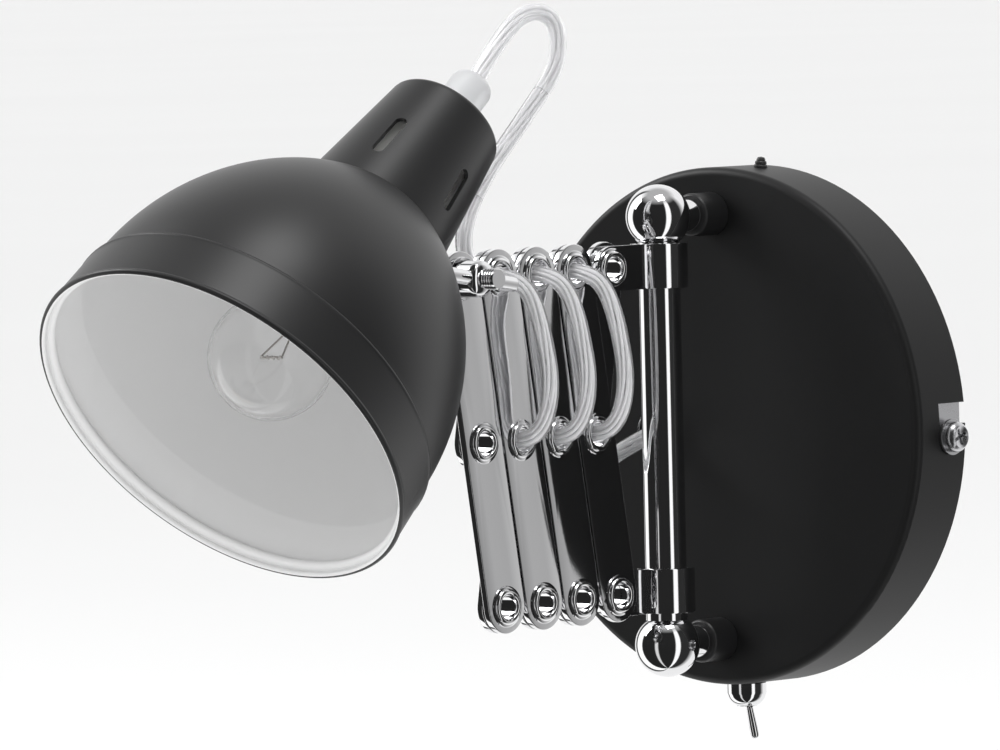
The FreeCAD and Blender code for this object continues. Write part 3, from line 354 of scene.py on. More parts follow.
scene = bpy.context.scene
scene.view_settings.view_transform = "Standard"
world = bpy.data.worlds.new("studio")
scene.world = world
world.use_nodes = True
studio_room(world.node_tree)
lamp("softbox", (-2.0, -0.9, 1.5), (0, -0.12, 0.03), 1.2, 26)
lamp("top_light", (0.5, -0.3, 1.9), (0, -0.12, 0.03), 0.8, 12)

FLOOR_DROP = 0.25
floor_mesh = bpy.data.meshes.new("floor")
floor_bm = bmesh.new()
bmesh.ops.create_grid(floor_bm, x_segments=1, y_segments=1, size=60.0)
bmesh.ops.translate(floor_bm, vec=(0, 0, -FLOOR_DROP), verts=floor_bm.verts)
floor_bm.to_mesh(floor_mesh)
floor_bm.free()
floor = bpy.data.objects.new("floor", floor_mesh)
scene.collection.objects.link(floor)
paper = finish("floor", (0.9, 0.9, 0.9), (0.93, 0.93, 0.93), (0.6, 0.7), wave_scale=1.0, bump=0.0)
floor.data.materials.append(paper)
floor.visible_glossy = False

# %% [markdown]
# Nearly every piece of this lamp is turned or pressed, so three small helpers carry most of the work. One spins
# a half profile, one softens the sharp edges, because a real edge is never razor sharp and its thin highlight
# is
# what makes metal look like metal, and one joins the shapes into a piece that rides on a body.

# %% Helpers for turned pieces
SHARP = math.radians(28)
FULL = 64


def stand(place, way=(0, 0, 1)):
    """The matrix that puts a shape's origin at a place and its Z axis along a way."""
    return Matrix.Translation(place) @ Vector(way).to_track_quat("Z", "Y").to_matrix().to_4x4()


def soften(shape, width, segments=2):
    """Bevels the sharp edges of a shape, by a width in millimetres."""
    sharp = [edge for edge in shape.edges if len(edge.link_faces) == 2 and edge.calc_face_angle() > SHARP]
    bmesh.ops.bevel(shape, geom=sharp, offset=width * MM, segments=segments, profile=0.5, affect="EDGES",
                    material=-1, clamp_overlap=True)
    return shape


def turned(profile, edge=0.0, steps=FULL, closed=False):
    """Spins a half profile of (radius, height) pairs, in millimetres, a full turn round Z."""
    shape = bmesh.new()
    verts = [shape.verts.new((radius * MM, 0, height * MM)) for radius, height in profile]
    edges = [shape.edges.new(pair) for pair in zip(verts, verts[1:])]
    if closed:
        edges.append(shape.edges.new((verts[-1], verts[0])))
    bmesh.ops.spin(shape, geom=verts + edges, cent=(0, 0, 0), axis=(0, 0, 1), angle=math.tau, steps=steps,
                   use_merge=True, use_duplicate=False)
    bmesh.ops.remove_doubles(shape, verts=shape.verts, dist=0.001 * MM)
    bmesh.ops.recalc_face_normals(shape, faces=shape.faces)
    if edge:
        soften(shape, edge)
    return shape


def arc(across, height, radius, first, last, parts=8):
    """Points of an arc in a half profile, its angles in degrees from straight out."""
    angles = [math.radians(first + (last - first) * part / parts) for part in range(parts + 1)]
    return [(across + radius * math.cos(angle), height + radius * math.sin(angle)) for angle in angles]


def join(name, shapes):
    """One mesh from placed shapes, each a (shape, matrix, material number)."""
    whole = bmesh.new()
    for shape, matrix, number in shapes:
        shape.transform(matrix)
        for face in shape.faces:
            face.material_index = number
            face.smooth = True
        part = bpy.data.meshes.new("part")
        shape.to_mesh(part)
        shape.free()
        whole.from_mesh(part)
        bpy.data.meshes.remove(part)
    bmesh.ops.remove_doubles(whole, verts=whole.verts, dist=0.002 * MM)
    bmesh.ops.recalc_face_normals(whole, faces=whole.faces)
    mesh = bpy.data.meshes.new(name)
    whole.to_mesh(mesh)
    whole.free()
    return mesh


def piece(name, shapes, finishes, body, nodes=()):
    """Makes a piece from placed shapes, gives it its finishes and lets it ride on a body."""
    made = bpy.data.objects.new("drawn_" + name, join(name, shapes))
    bpy.context.scene.collection.objects.link(made)
    for material in finishes:
        made.data.materials.append(material)
    made.data.set_sharp_from_angle(angle=math.radians(40))
    even = made.modifiers.new("even_normals", "WEIGHTED_NORMAL")
    even.keep_sharp = True
    if nodes:
        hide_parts(*nodes)
    if body:
        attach(made, body)
    return made


print("helpers ready")

# %% [markdown]
# A slot or a cross recess is cut with a Boolean modifier that is applied at once. The cutter is thrown away, so
# nothing hidden is left in the scene.

# %% Cutting helper
def cut_out(made, shape, matrix, number=0):
    """Cuts a shape out of a finished piece."""
    tool = bpy.data.objects.new("cutter", join("cutter", [(shape, matrix, number)]))
    bpy.context.scene.collection.objects.link(tool)
    for material in made.data.materials:
        tool.data.materials.append(material)
    boolean = made.modifiers.new("cut", "BOOLEAN")
    boolean.operation = "DIFFERENCE"
    boolean.solver = "EXACT"
    boolean.object = tool
    even = made.modifiers.get("even_normals")
    even.show_viewport = False
    result = bpy.data.meshes.new_from_object(made.evaluated_get(bpy.context.evaluated_depsgraph_get()))
    even.show_viewport = True
    made.modifiers.remove(boolean)
    old = made.data
    result.name = old.name + "_cut"
    made.data = result
    bpy.data.meshes.remove(old)
    bpy.data.objects.remove(tool)
    made.data.set_sharp_from_angle(angle=math.radians(40))


def stadium(radius, half, thick, holes=(), edge=0.3, flat_end=None):
    """A flat strip with round ends along Y, with round holes, and softened edges. Sizes in millimetres."""
    shape = bmesh.new()
    turn = Matrix.Rotation(math.radians(3.75), 4, "Z")
    rim = bmesh.ops.create_circle(shape, cap_ends=False, radius=radius * MM, segments=48, matrix=turn)["verts"]
    for vert in rim:
        vert.co.y += math.copysign(half * MM, vert.co.y)
        if flat_end is not None and vert.co.y < 0:
            vert.co.y = flat_end * MM
    for height, hole in holes:
        place = Matrix.Translation((0, height * MM, 0))
        bmesh.ops.create_circle(shape, cap_ends=False, radius=hole * MM, segments=32, matrix=place)
    bmesh.ops.triangle_fill(shape, use_beauty=True, use_dissolve=False, edges=shape.edges)
    bmesh.ops.translate(shape, verts=shape.verts, vec=(0, 0, -thick / 2 * MM))
    grown = bmesh.ops.extrude_face_region(shape, geom=shape.faces)["geom"]
    raised = [item for item in grown if isinstance(item, bmesh.types.BMVert)]
    bmesh.ops.translate(shape, verts=raised, vec=(0, 0, thick * MM))
    bmesh.ops.recalc_face_normals(shape, faces=shape.faces)
    return soften(shape, edge) if edge else shape


def hexagon(radius, height, edge=0.25):
    """A hexagon nut blank, standing on its base. Its bolt hides the bore."""
    shape = bmesh.new()
    place = Matrix.Translation((0, 0, height / 2 * MM))
    bmesh.ops.create_cone(shape, cap_ends=True, segments=6, radius1=radius * MM, radius2=radius * MM,
                          depth=height * MM, matrix=place)
    return soften(shape, edge)


print("cutting helpers ready")

# %% [markdown]
# Wires and cables follow a smooth line. Blender gives that line from a NURBS spline with a few control points,
# and a ring pushed along it step by step leaves a tube behind. A ring off the line and turned a little at each
# step leaves a twisted strand.

# %% Tube helper
def route_line(points, smooth=12):
    """The places along a NURBS spline that has these control points."""
    curve = bpy.data.curves.new("route", "CURVE")
    curve.dimensions = "3D"
    curve.resolution_u = smooth
    spline = curve.splines.new("NURBS")
    spline.points.add(len(points) - 1)
    for knot, point in zip(spline.points, points):
        knot.co = (*point, 1)
    spline.order_u = 3
    spline.use_endpoint_u = True
    holder = bpy.data.objects.new("route", curve)
    mesh = bpy.data.meshes.new_from_object(holder)
    line = [vertex.co.copy() for vertex in mesh.vertices]
    bpy.data.objects.remove(holder)
    bpy.data.curves.remove(curve)
    bpy.data.meshes.remove(mesh)
    return line


def length_of(line):
    """How long a line is, in metres."""
    return sum((after - before).length for before, after in zip(line, line[1:]))


def frames_along(line):
    """A matrix at each place of a line, its Z axis along the line, that turns no more than it must."""
    ways = [(after - before).normalized() for before, after in zip(line, line[1:])]
    ways.append(ways[-1])
    turn = ways[0].to_track_quat("Z", "Y")
    frames = []
    before = ways[0]
    for place, way in zip(line, ways):
        turn = before.rotation_difference(way) @ turn
        frames.append(Matrix.Translation(place) @ turn.to_matrix().to_4x4())
        before = way
    return frames


def tube_along(line, radius, sides=20, off=0.0, start_angle=0.0, pitch=0.06):
    """A round tube on a line. With off, it winds round the line at that distance, one turn per pitch."""
    shape = bmesh.new()
    ring = None
    run = 0.0
    previous = line[0]
    for place, frame in zip(line, frames_along(line)):
        run += (place - previous).length
        previous = place
        angle = start_angle + math.tau * run / pitch
        put = frame @ Matrix.Translation((off * math.cos(angle), off * math.sin(angle), 0))
        if ring is None:
            made = bmesh.ops.create_circle(shape, cap_ends=True, radius=radius, segments=sides, matrix=put)
            ring = [edge for edge in shape.edges]
            back = put.inverted()
            continue
        grown = bmesh.ops.extrude_edge_only(shape, edges=ring)["geom"]
        ring = [item for item in grown if isinstance(item, bmesh.types.BMEdge) and item.is_boundary]
        moved = [item for item in grown if isinstance(item, bmesh.types.BMVert)]
        bmesh.ops.transform(shape, matrix=put @ back, verts=moved)
        back = put.inverted()
    bmesh.ops.holes_fill(shape, edges=ring, sides=0)
    bmesh.ops.recalc_face_normals(shape, faces=shape.faces)
    return shape


print("tube helper ready")

# %% [markdown]
# ## The scissor arm
# Eight flat links make four crosses. They are stamped from chrome-plated strip, so each is one flat plate with
# round ends, three holes and a thin rounded edge. The plate is filled between its outline and its holes,
# thickened and bevelled. The front links lie on the side of the shade's bar, the back links behind them.

# %% Links
LINK_RADIUS = 7.7
LINK_SHEET = 2.0
LINK_LAYER = 1.25
HOLE = 4.2
STUD_HOLE = 3.06
FIT = 0.06
half_link = (upper[1] - middle[0]).length / MM


def lying(start, end, x):
    """The matrix that lays a strip's Y axis from start to end, in a layer of the arm."""
    along = (end - start).normalized()
    out = Vector((1, 0, 0))
    centre = (start + end) / 2
    turn = Matrix((along.cross(out), along, out)).transposed().to_4x4()
    return Matrix.Translation((x * MM, centre.y, centre.z)) @ turn


def link(name, start, end, x, body, holes, half=half_link):
    strip = stadium(LINK_RADIUS, half, LINK_SHEET, holes=holes)
    return piece(name, [(strip, lying(start, end, x), 0)], [CHROME], body, [name])


for number in range(4):
    low_end = lower[number]
    holes = [(-half_link, HOLE), (0, HOLE), (half_link, STUD_HOLE if number == 3 else HOLE)]
    link("front_link_%d" % number, low_end, upper[number + 1], LINK_LAYER, "front_%d" % number, holes)
    if number < 3:
        link("back_link_%d" % number, lower[number + 1], upper[number], -LINK_LAYER, "back_%d" % number,
             [(-half_link, HOLE + FIT), (0, HOLE + FIT), (half_link, HOLE + FIT)])
    else:
        link("back_link_3", middle[3], upper[3], -LINK_LAYER, "back_3",
             [(-half_link / 2, HOLE + FIT), (half_link / 2, HOLE + FIT)], half=half_link / 2)
print("half link mm", round(half_link, 2))

# %% [markdown]
# Hollow rivets, or eyelets, hold each crossing. The cable runs through some of them, which is why they are
# hollow. An eyelet is a tube whose ends are rolled over: a flat flange with a round bead at the mouth. Its half
# profile is drawn once with both heads and spun.

# %% Eyelets
STACK = 2.25
BORE = 3.45
FLANGE = 5.9


def eyelet(inner=None):
    """A hollow rivet along Z. With inner, only the front half, from that height."""
    front = [(FLANGE - 0.15, STACK), (FLANGE, STACK + 0.2), (FLANGE - 0.12, STACK + 0.42),
             (FLANGE - 0.45, STACK + 0.52), (5.15, STACK + 0.55)]
    front += arc(4.32, STACK + 0.5, 0.85, 0, 180, 10)
    if inner is not None:
        return turned(front + [(BORE, inner), (HOLE, inner), (HOLE, STACK)], closed=True)
    lift = STACK + 0.06
    back = [(radius, -(height + 0.06)) for radius, height in reversed(front)]
    return turned(front + back + [(HOLE, -lift), (HOLE, STACK)], closed=True)


def washer(outer, bore, thick):
    """A thin flat ring."""
    return turned([(bore, 0), (outer, 0), (outer, thick), (bore, thick)], edge=0.06, closed=True)


def across(point, x=0.0):
    """A place on the arm, moved sideways, with its Z axis along X."""
    return stand((x * MM, point.y, point.z), (1, 0, 0))


for number in range(4):
    joints = [middle[number]]
    if number < 3:
        joints.append(upper[number + 1])
    if number:
        joints.append(lower[number])
    shapes = [(eyelet(), across(joint), 0) for joint in joints]
    shapes += [(washer(6.4, HOLE, 0.44), across(joint, -0.19), 0) for joint in joints]
    if number == 0:
        shapes.append((eyelet(inner=0.15), across(lower[0]), 0))
    piece("link_rivets_%d" % number, shapes, [CHROME], "front_%d" % number, ["link_rivets_%d" % number])
piece("collar_rivet", [(eyelet(), across(upper[0]), 0), (washer(6.4, HOLE, 0.44), across(upper[0], -0.19), 0)],
      [CHROME], "swing", ["collar_rivet"])
turned_back = stand(lower[0], (-1, 0, 0))
piece("lower_collar_rivet", [(eyelet(inner=0.15), turned_back, 0)], [CHROME], "slider", ["lower_collar_rivet"])
print("eyelets done")

# %% [markdown]
# ## Rod, balls, posts and collars
# The rod is a chromed tube between two balls. A ball is spun round the sideways axis, so its set screw's hole
# comes out of the same profile. Each ball stands off the canopy on a thin neck and a black post.

# %% Rod and its fittings
BALL = 9.34
BALL_HEIGHT = 61.6
ROD_SEAT = 3.6
COLLAR = 8.3
COLLAR_HALF = 6.5
PIVOT_OUT = (rod.y - upper[0].y) / MM
ROD_BORE = 4.8
ROD = 6
rod_low = BALL_HEIGHT - ROD_SEAT
tube = turned([(ROD_BORE, -rod_low), (ROD, -rod_low), (ROD, rod_low), (ROD_BORE, rod_low)], closed=True)
piece("rod_tube", [(tube, stand((0, rod.y, 0)), 0)], [CHROME], "base", ["rod_tube"])


def ball(drilled):
    """A ball spun round the sideways axis. A drilled one has its set screw's hole at the top of the profile."""
    mouth = math.degrees(math.acos(1.6 / BALL))
    if not drilled:
        return turned(arc(0, 0, BALL, -90, 90, 48))
    hole = [(1.5, BALL - 0.4), (1.5, BALL - 2.8), (0, BALL - 2.8)]
    return turned(arc(0, 0, BALL, -90, mouth, 48) + hole)


balls = []
necks = []
posts = []
for side in (1, -1):
    centre = Vector((0, rod.y, BALL_HEIGHT * side * MM))
    balls.append((ball(side < 0), stand(centre, (1, 0, 0)), 0))
    root = Vector((0, -CANOPY_DEPTH, centre.z))
    neck = turned([(2.4, 9.9), (4.8, 9.9), (4.8, 16.26), (2.4, 16.26)], edge=0.15, closed=True)
    post = turned([(2.4, 0), (6.25, 0), (6.25, 9.3), (5.65, 10), (2.4, 10)], edge=0.25, closed=True)
    necks.append((neck, stand(root, (0, -1, 0)), 0))
    posts.append((post, stand(root, (0, -1, 0)), 0))
piece("rod_balls", balls, [CHROME], "base", ["rod_balls"])
piece("post_necks", necks, [CHROME], "base", ["post_necks"])
piece("wall_posts", posts, [BLACK_PAINT], "base", ["wall_posts"])


def collar(name, x, height, body):
    """A sleeve on the rod with a flat tab that carries a pivot."""
    sleeve = turned([(6.08, -COLLAR_HALF), (COLLAR, -COLLAR_HALF), (COLLAR, COLLAR_HALF), (6.08, COLLAR_HALF)],
                    edge=0.35, closed=True)
    half = PIVOT_OUT / 2
    tab = stadium(COLLAR_HALF, half, LINK_SHEET, holes=[(half, HOLE)], flat_end=-half + 7.4)
    inner = Vector((0, rod.y, height))
    outer = Vector((0, upper[0].y, height))
    return piece(name, [(sleeve, stand(inner), 0), (tab, lying(inner, outer, x), 0)], [CHROME], body, [name])


collar("upper_collar", LINK_LAYER, upper[0].z, "swing")
collar("lower_collar", -LINK_LAYER, lower[0].z, "slider")
print("rod done, pivot out mm", round(PIVOT_OUT, 2))

# %% [markdown]
# ## Head joint
# A stud clamps a turned knuckle to the last link, and the shade's bar slides through the knuckle. The stud's
# thread is drawn as ridges in its half profile, which at this size looks the same as a true helix.

# %% Knuckle, stud and bar
KNUCKLE_START = 3.25
knuckle_axis = stand((0, upper[4].y, upper[4].z), (1, 0, 0))


def on_knuckle(shape, x):
    return (shape, knuckle_axis @ Matrix.Translation((0, 0, x * MM)), 0)


body_profile = [(0, 0), (4.6, 0), (5.25, 0.5), (5.25, 5.8)] + arc(2.6, 5.8, 2.65, 8, 82, 8)
body_profile += [(2.2, 8.6), (0, 8.6)]
piece("head_knuckle", [on_knuckle(turned(body_profile), KNUCKLE_START)], [CHROME], "knuckle", ["head_knuckle"])
cup = [(3.06, 0), (6.0, 0)] + arc(5.9, 0.3, 0.3, -60, 60, 4) + [(6.0, 0.94), (5.5, 0.7), (3.06, 0.7)]
piece("head_washer", [on_knuckle(turned(cup, closed=True), STACK + 0.06)], [CHROME], "knuckle", ["head_washer"])
THREAD_START = 1.05
THREAD_PITCH = 0.9
thread = [(0, 0), (3.0, 0), (3.0, THREAD_START)]
for turn in range(5):
    base = THREAD_START + THREAD_PITCH * turn
    thread += [(2.45, base + 0.12), (2.45, base + 0.3), (3.0, base + 0.52), (3.0, base + 0.74)]
thread += [(2.7, 5.66), (0, 5.66)]
stud_start = KNUCKLE_START + 5.25 + 2.2 + 0.08
piece("clamp_stud", [on_knuckle(turned(thread), stud_start)], [CHROME], "knuckle", ["clamp_stud"])
piece("head_clamp_nut", [on_knuckle(hexagon(5.6, 3.2), LINK_LAYER - 1.0 - 0.06 - 3.2)], [CHROME], "front_3",
      ["head_clamp_nut"])

BAR_TAIL = 15.2
bar_start = head - bar_way * BAR_TAIL * MM
BAR_LENGTH = 43.2
bar_shape = turned([(0, 0), (2.2, 0), (2.2, BAR_LENGTH), (0, BAR_LENGTH)], edge=0.25)
piece("stem_bar", [(bar_shape, stand(bar_start, bar_way), 0)], [CHROME], "head", ["stem_bar"])
nut_place = head + bar_way * 17 * MM
piece("stem_locknut", [(hexagon(4.6, 3.0), stand(nut_place, bar_way), 0)], [CHROME], "head", ["stem_locknut"])
print("head joint done")

# %% [markdown]
# ## Shade
# The shade is spun from sheet: a bell with a straight band at its mouth, a rolled edge and a short neck. It is
# black outside and white inside, so the outside and the inside are two half profiles with their own finishes
# that meet at the mouth. A ridge runs round it where the band ends, and a white bead stiffens the mouth inside.

# %% Shade shell
CREASE_STATION = 17.0
CREASE_RADIUS = 55.2
SHOULDER_STATION = 81.6
SHOULDER_RADIUS = 22.6
NECK_TOP = 17.1
SHADE_LENGTH = 123.6
SHEET = 1.0
BOSS_START = 20
MOUTH_RADIUS = 57.2
LIP = 0.9
drop = CREASE_RADIUS - SHOULDER_RADIUS
rise = SHOULDER_STATION - CREASE_STATION
DOME = (drop * drop + rise * rise) / (drop * 2)
shade_axis = Matrix.Translation(mouth) @ Matrix.Rotation(HEAD_ANGLE - math.radians(90), 4, "X")


def dome_side(inset):
    """The bell's half profile above the band, that far inside its outer face."""
    radius = DOME - inset
    end = math.degrees(math.asin(rise / radius))
    return arc(CREASE_RADIUS - DOME, CREASE_STATION, radius, 0, end, 40)


lip_centre = MOUTH_RADIUS - SHEET / 2
BEAD = 1.5
band_out = [(MOUTH_RADIUS + 0.05, 0.9), (CREASE_RADIUS + 1.2, 15.0), (CREASE_RADIUS + 1.4, 15.5),
            (CREASE_RADIUS + 1.35, 16.0), (CREASE_RADIUS + 1.0, 16.4), (CREASE_RADIUS + 0.1, 16.8)]
outside = turned(arc(lip_centre, 0, LIP, -100, 50, 10) + band_out + dome_side(0), steps=128)
inside = turned(
    [arc(lip_centre, 0, LIP, -100, -100, 1)[0]] + arc(lip_centre, 0, LIP, -110, -230, 6)
    + arc(MOUTH_RADIUS - 1.3, 1.2 + BEAD, BEAD, -90, -270, 8)
    + [(CREASE_RADIUS - SHEET, CREASE_STATION - 0.5)] + dome_side(SHEET), steps=128)
seam = turned([dome_side(0)[-1], dome_side(SHEET)[-1]], steps=128)
piece("shade_dome", [(outside, shade_axis, 0), (inside, shade_axis, 1), (seam, shade_axis, 0)],
      [BLACK_PAINT, WHITE_ENAMEL], "head", ["shade_dome"])

# %% [markdown]
# The neck is a short cone with a flat top that holds the lampholder. Its five vents stand upright and let the
# bulb's heat out.

# %% Shade neck
VENTS = 5
FIRST_VENT = 23
VENT_STATION = 97.5
VENT_RADIUS = 1.8
VENT_HALF = 5.95
VENT_DEPTH = 12.0
ceiling = SHADE_LENGTH - SHEET
slope = (SHOULDER_RADIUS - NECK_TOP) / (SHADE_LENGTH - SHOULDER_STATION)
top_edge = NECK_TOP + slope * 1.8
inner_low = dome_side(SHEET)[-1][0]
neck_out = turned([(SHOULDER_RADIUS, SHOULDER_STATION), (top_edge, SHADE_LENGTH - 1.8)]
                  + arc(top_edge - 1.8, SHADE_LENGTH - 1.8, 1.8, 10, 90, 6) + [(6.25, SHADE_LENGTH)], steps=128)
neck_in = turned([(6.25, ceiling), (NECK_TOP - SHEET, ceiling), (inner_low, SHOULDER_STATION)], steps=128)
neck_bore = turned([(6.25, SHADE_LENGTH), (6.25, ceiling)], steps=128)
neck_foot = turned([(SHOULDER_RADIUS, SHOULDER_STATION), (inner_low, SHOULDER_STATION)], steps=128)
boss = turned([(2.2, 0), (4.2, 0), (4.2, 6.5), (2.2, 6.5)], edge=0.3, closed=True)
boss_place = stand(head + bar_way * BOSS_START * MM, bar_way)
neck = piece("shade_neck", [(neck_out, shade_axis, 0), (neck_in, shade_axis, 1), (neck_bore, shade_axis, 0),
                            (neck_foot, shade_axis, 0)],
             [BLACK_PAINT, WHITE_ENAMEL], "head", ["shade_neck"])
upright = Matrix.Rotation(math.radians(90), 4, "X")
for number in range(VENTS):
    spread_turn = Matrix.Rotation(math.radians(FIRST_VENT + 360 / VENTS * number), 4, "Z")
    place = Matrix.Translation((0, -SHOULDER_RADIUS * 0.9 * MM, VENT_STATION * MM))
    cut_out(neck, stadium(VENT_RADIUS, VENT_HALF, VENT_DEPTH, edge=0), shade_axis @ spread_turn @ place @ upright)
piece("neck_boss", [(boss, boss_place, 0)], [BLACK_PAINT], "head")
print("shade done, dome radius mm", round(DOME, 1))

# %% [markdown]
# ## Cord grip, lampholder and bulb
# A clear plastic grip holds the cable at the neck. The lampholder and its ring are moulded plastic, and the
# bulb
# is a thin clear globe with a glass stem, two supports and a filament.

# %% Grip, holder and bulb
HOLDER_LOW = ceiling - 46.0


def on_shade(shape):
    return (shape, shade_axis, 0)


top = SHADE_LENGTH
grip_profile = [(2.5, ceiling), (6.25, ceiling), (6.25, top + 14.4)] + arc(3.65, top + 14.4, 2.6, 8, 90, 8)
grip_profile.append((2.5, top + 17.0))
piece("cord_grip", [on_shade(turned(grip_profile, closed=True))], [FROSTED], "head", ["cord_grip"])
nut = turned([(6.25, top), (8.0, top), (8.0, top + 2.2), (7.2, top + 3.0), (6.25, top + 3.0)], edge=0.2,
             closed=True)
piece("grip_nut", [on_shade(nut)], [FROSTED], "head", ["grip_nut"])

holder = turned([(11.6, HOLDER_LOW), (13.4, HOLDER_LOW), (13.4, ceiling - 6), (10.4, ceiling), (2.5, ceiling),
                 (2.5, ceiling - 6), (11.6, ceiling - 6)], edge=0.3, closed=True)
piece("lampholder", [on_shade(holder)], [WHITE_PLASTIC], "head", ["lampholder"])
ring = turned([(13.4, HOLDER_LOW), (15.6, HOLDER_LOW), (15.6, HOLDER_LOW + 3.5), (14.1, HOLDER_LOW + 5),
               (13.4, HOLDER_LOW + 5)], edge=0.3, closed=True)
piece("holder_ring", [on_shade(ring)], [WHITE_PLASTIC], "head", ["holder_ring"])

BULB = 17.5
BULB_STATION = 27.0
BULB_NECK = 7.6
cap_low = HOLDER_LOW + 5.0
cap_profile = [(0, cap_low), (6.9, cap_low)]
for turn in range(4):
    low = cap_low + 2.5 + 3.2 * turn
    cap_profile += [(6.5, low), (6.9, low + 1.0), (6.9, low + 1.6), (6.5, low + 2.6)]
cap_profile += [(6.6, cap_low + 17), (3.1, cap_low + 20), (0, cap_low + 20)]
piece("bulb_cap", [on_shade(turned(cap_profile))], [ZINC], "head", ["bulb_cap"])


def globe(inset):
    """The bulb's half profile, that far inside its outer face."""
    radius = BULB - inset
    neck_radius = BULB_NECK - inset
    end = math.degrees(math.acos(neck_radius / radius))
    neck_low = BULB_STATION + math.sin(math.radians(end)) * radius
    fillet = [(neck_radius + 0.15, neck_low + 0.8), (neck_radius, neck_low + 2.0), (neck_radius, cap_low)]
    return arc(0, BULB_STATION, radius, -90, end - 6, 40) + fillet


envelope = turned(globe(0) + list(reversed(globe(0.8))), steps=96)
piece("bulb_glass", [on_shade(envelope)], [GLASS], "head", ["bulb_glass"])
stem_end = BULB_STATION + 10.2
stem = turned([(0, stem_end), (1.3, stem_end), (2.2, stem_end + 3), (2.6, stem_end + 5.2), (2.6, cap_low),
               (0, cap_low)], edge=0.2)
print("bulb done")

# %% [markdown]
# The filament is one fine wire, hooked up and down between its supports, and it hangs from the glass stem. It
# is a thin tube along a spline, as the cable is.

# %% Filament
def in_shade(x, y, station):
    """A place in the shade's own frame, in millimetres from the middle of its mouth."""
    return shade_axis @ Vector((x * MM, y * MM, station * MM))


wires = [(stem, shade_axis, 0)]
for side in (1, -1):
    support = [in_shade(side * 0.9, 0, stem_end + 1.5), in_shade(side * 1.6, 0, stem_end - 2),
               in_shade(side * 3.2, 0, BULB_STATION + 3), in_shade(side * 3.9, 0, BULB_STATION + 0.3)]
    wires.append((tube_along(route_line(support), 0.28 * MM, sides=8), Matrix.Identity(4), 1))
hook = [in_shade(-4.0, 0, BULB_STATION + 0.2)]
for step in range(17):
    angle = math.radians(180 * step)
    hook.append(in_shade(-3.8 + 0.475 * step, 0.5 * math.cos(angle), BULB_STATION + 0.4 * math.sin(step * 1.7)))
hook.append(in_shade(4.0, 0, BULB_STATION + 0.2))
wires.append((tube_along(route_line(hook, smooth=6), 0.3 * MM, sides=8), Matrix.Identity(4), 1))
piece("bulb_mount", wires, [GLASS, WIRE], "head", ["bulb_mount"])
print("filament done")

# %% [markdown]
# ## Switch, blanking plug, cable bush and rim screws
# Small fittings carry the eye: a toggle switch with a domed nut under the canopy, a ribbed plug in its spare
# hole
# at the top, a grommet where the cable comes out of its face and a pan-head screw on each side.

# %% Small fittings
TOGGLE = Vector((0, JOINTS["toggle_rock"]["pos_m"][1], -CANOPY_RADIUS))
down = (0, 0, -1)
dome_nut = [(3.0, 0), (5.75, 0), (5.75, 2.9)] + arc(1.2, 2.6, 4.45, 12, 66, 8) + [(3.0, 7.0)]
piece("toggle_dome_nut", [(turned(dome_nut, edge=0.2, closed=True), stand(TOGGLE, down), 0)], [CHROME], "base",
      ["toggle_dome_nut"])
lean = math.radians(13)
bat_way = Vector((math.sin(lean), 0, -math.cos(lean)))
bat_root = TOGGLE - Vector((0, 0, 3.2 * MM))
bat = arc(0, 0, 2.1, -90, 55, 10) + [(0.95, 2.4), (0.98, 4.0), (1.25, 10.0)] + arc(0, 12.3, 1.22, 0, 90, 6)
piece("toggle_lever", [(turned(bat), stand(bat_root, bat_way), 0)], [CHROME], "toggle", ["toggle_lever"])

PLUG_ANGLE = math.radians(6)
plug_way = Vector((math.sin(PLUG_ANGLE), 0, math.cos(PLUG_ANGLE)))
plug_place = plug_way * CANOPY_RADIUS + Vector((0, -8.4 * MM, 0))
ribs = [(0, -2.4), (1.55, -2.4), (1.55, 0), (2.0, 0), (1.95, 0.65), (1.5, 0.95), (1.72, 1.05), (1.62, 1.7),
        (1.2, 2.0), (1.36, 2.1), (1.0, 2.85), (0, 3.1)]
piece("entry_plug", [(turned(ribs, edge=0.05), stand(plug_place, plug_way), 0)], [BLACK_PLASTIC], "base",
      ["entry_plug"])

BUSH_X = -21
BUSH_Z = -1
inlet_way = Vector((0, -1, 0))
bush_place = Vector((BUSH_X * MM, -CANOPY_DEPTH, BUSH_Z * MM))
bush = [(2.5, -4), (4.6, -4), (4.6, 0), (6.4, 0), (6.4, 1.4), (4.6, 5.4), (2.5, 5.4)]
piece("cable_bush", [(turned(bush, edge=0.25, closed=True), stand(bush_place, inlet_way), 0)], [CLEAR_PLASTIC],
      "base", ["cable_bush"])


def rim_screw(side):
    """A washer and a pan-head screw on the canopy's rim, with a cross recess cut in."""
    way = Vector((side, 0, 0))
    root = Vector((side * CANOPY_RADIUS, -6.5 * MM, -2.5 * side * MM))
    ring = washer(5.2, 2.0, 0.8)
    head_shape = turned([(0, -7.9), (2.0, -7.9), (2.0, 0), (4.4, 0), (4.4, 0.9)] + arc(1.9, 0.9, 2.5, 10, 60, 5)
                        + [(1.8, 2.4), (0, 2.4)])
    lifted = stand(root, way) @ Matrix.Translation((0, 0, 0.8 * MM))
    return [(ring, stand(root, way), 0), (head_shape, lifted, 0)], lifted


shapes, right_head = rim_screw(1)
more, left_head = rim_screw(-1)
rim_screws = piece("rim_screws", shapes + more, [ZINC], "base", ["rim_screws"])
for place in (right_head, left_head):
    for angle in (20, 110):
        turn = Matrix.Rotation(math.radians(angle), 4, "Z")
        cut_out(rim_screws, stadium(0.5, 2.0, 2.4, edge=0), place @ Matrix.Translation((0, 0, 2.6 * MM)) @ turn)
print("fittings done")
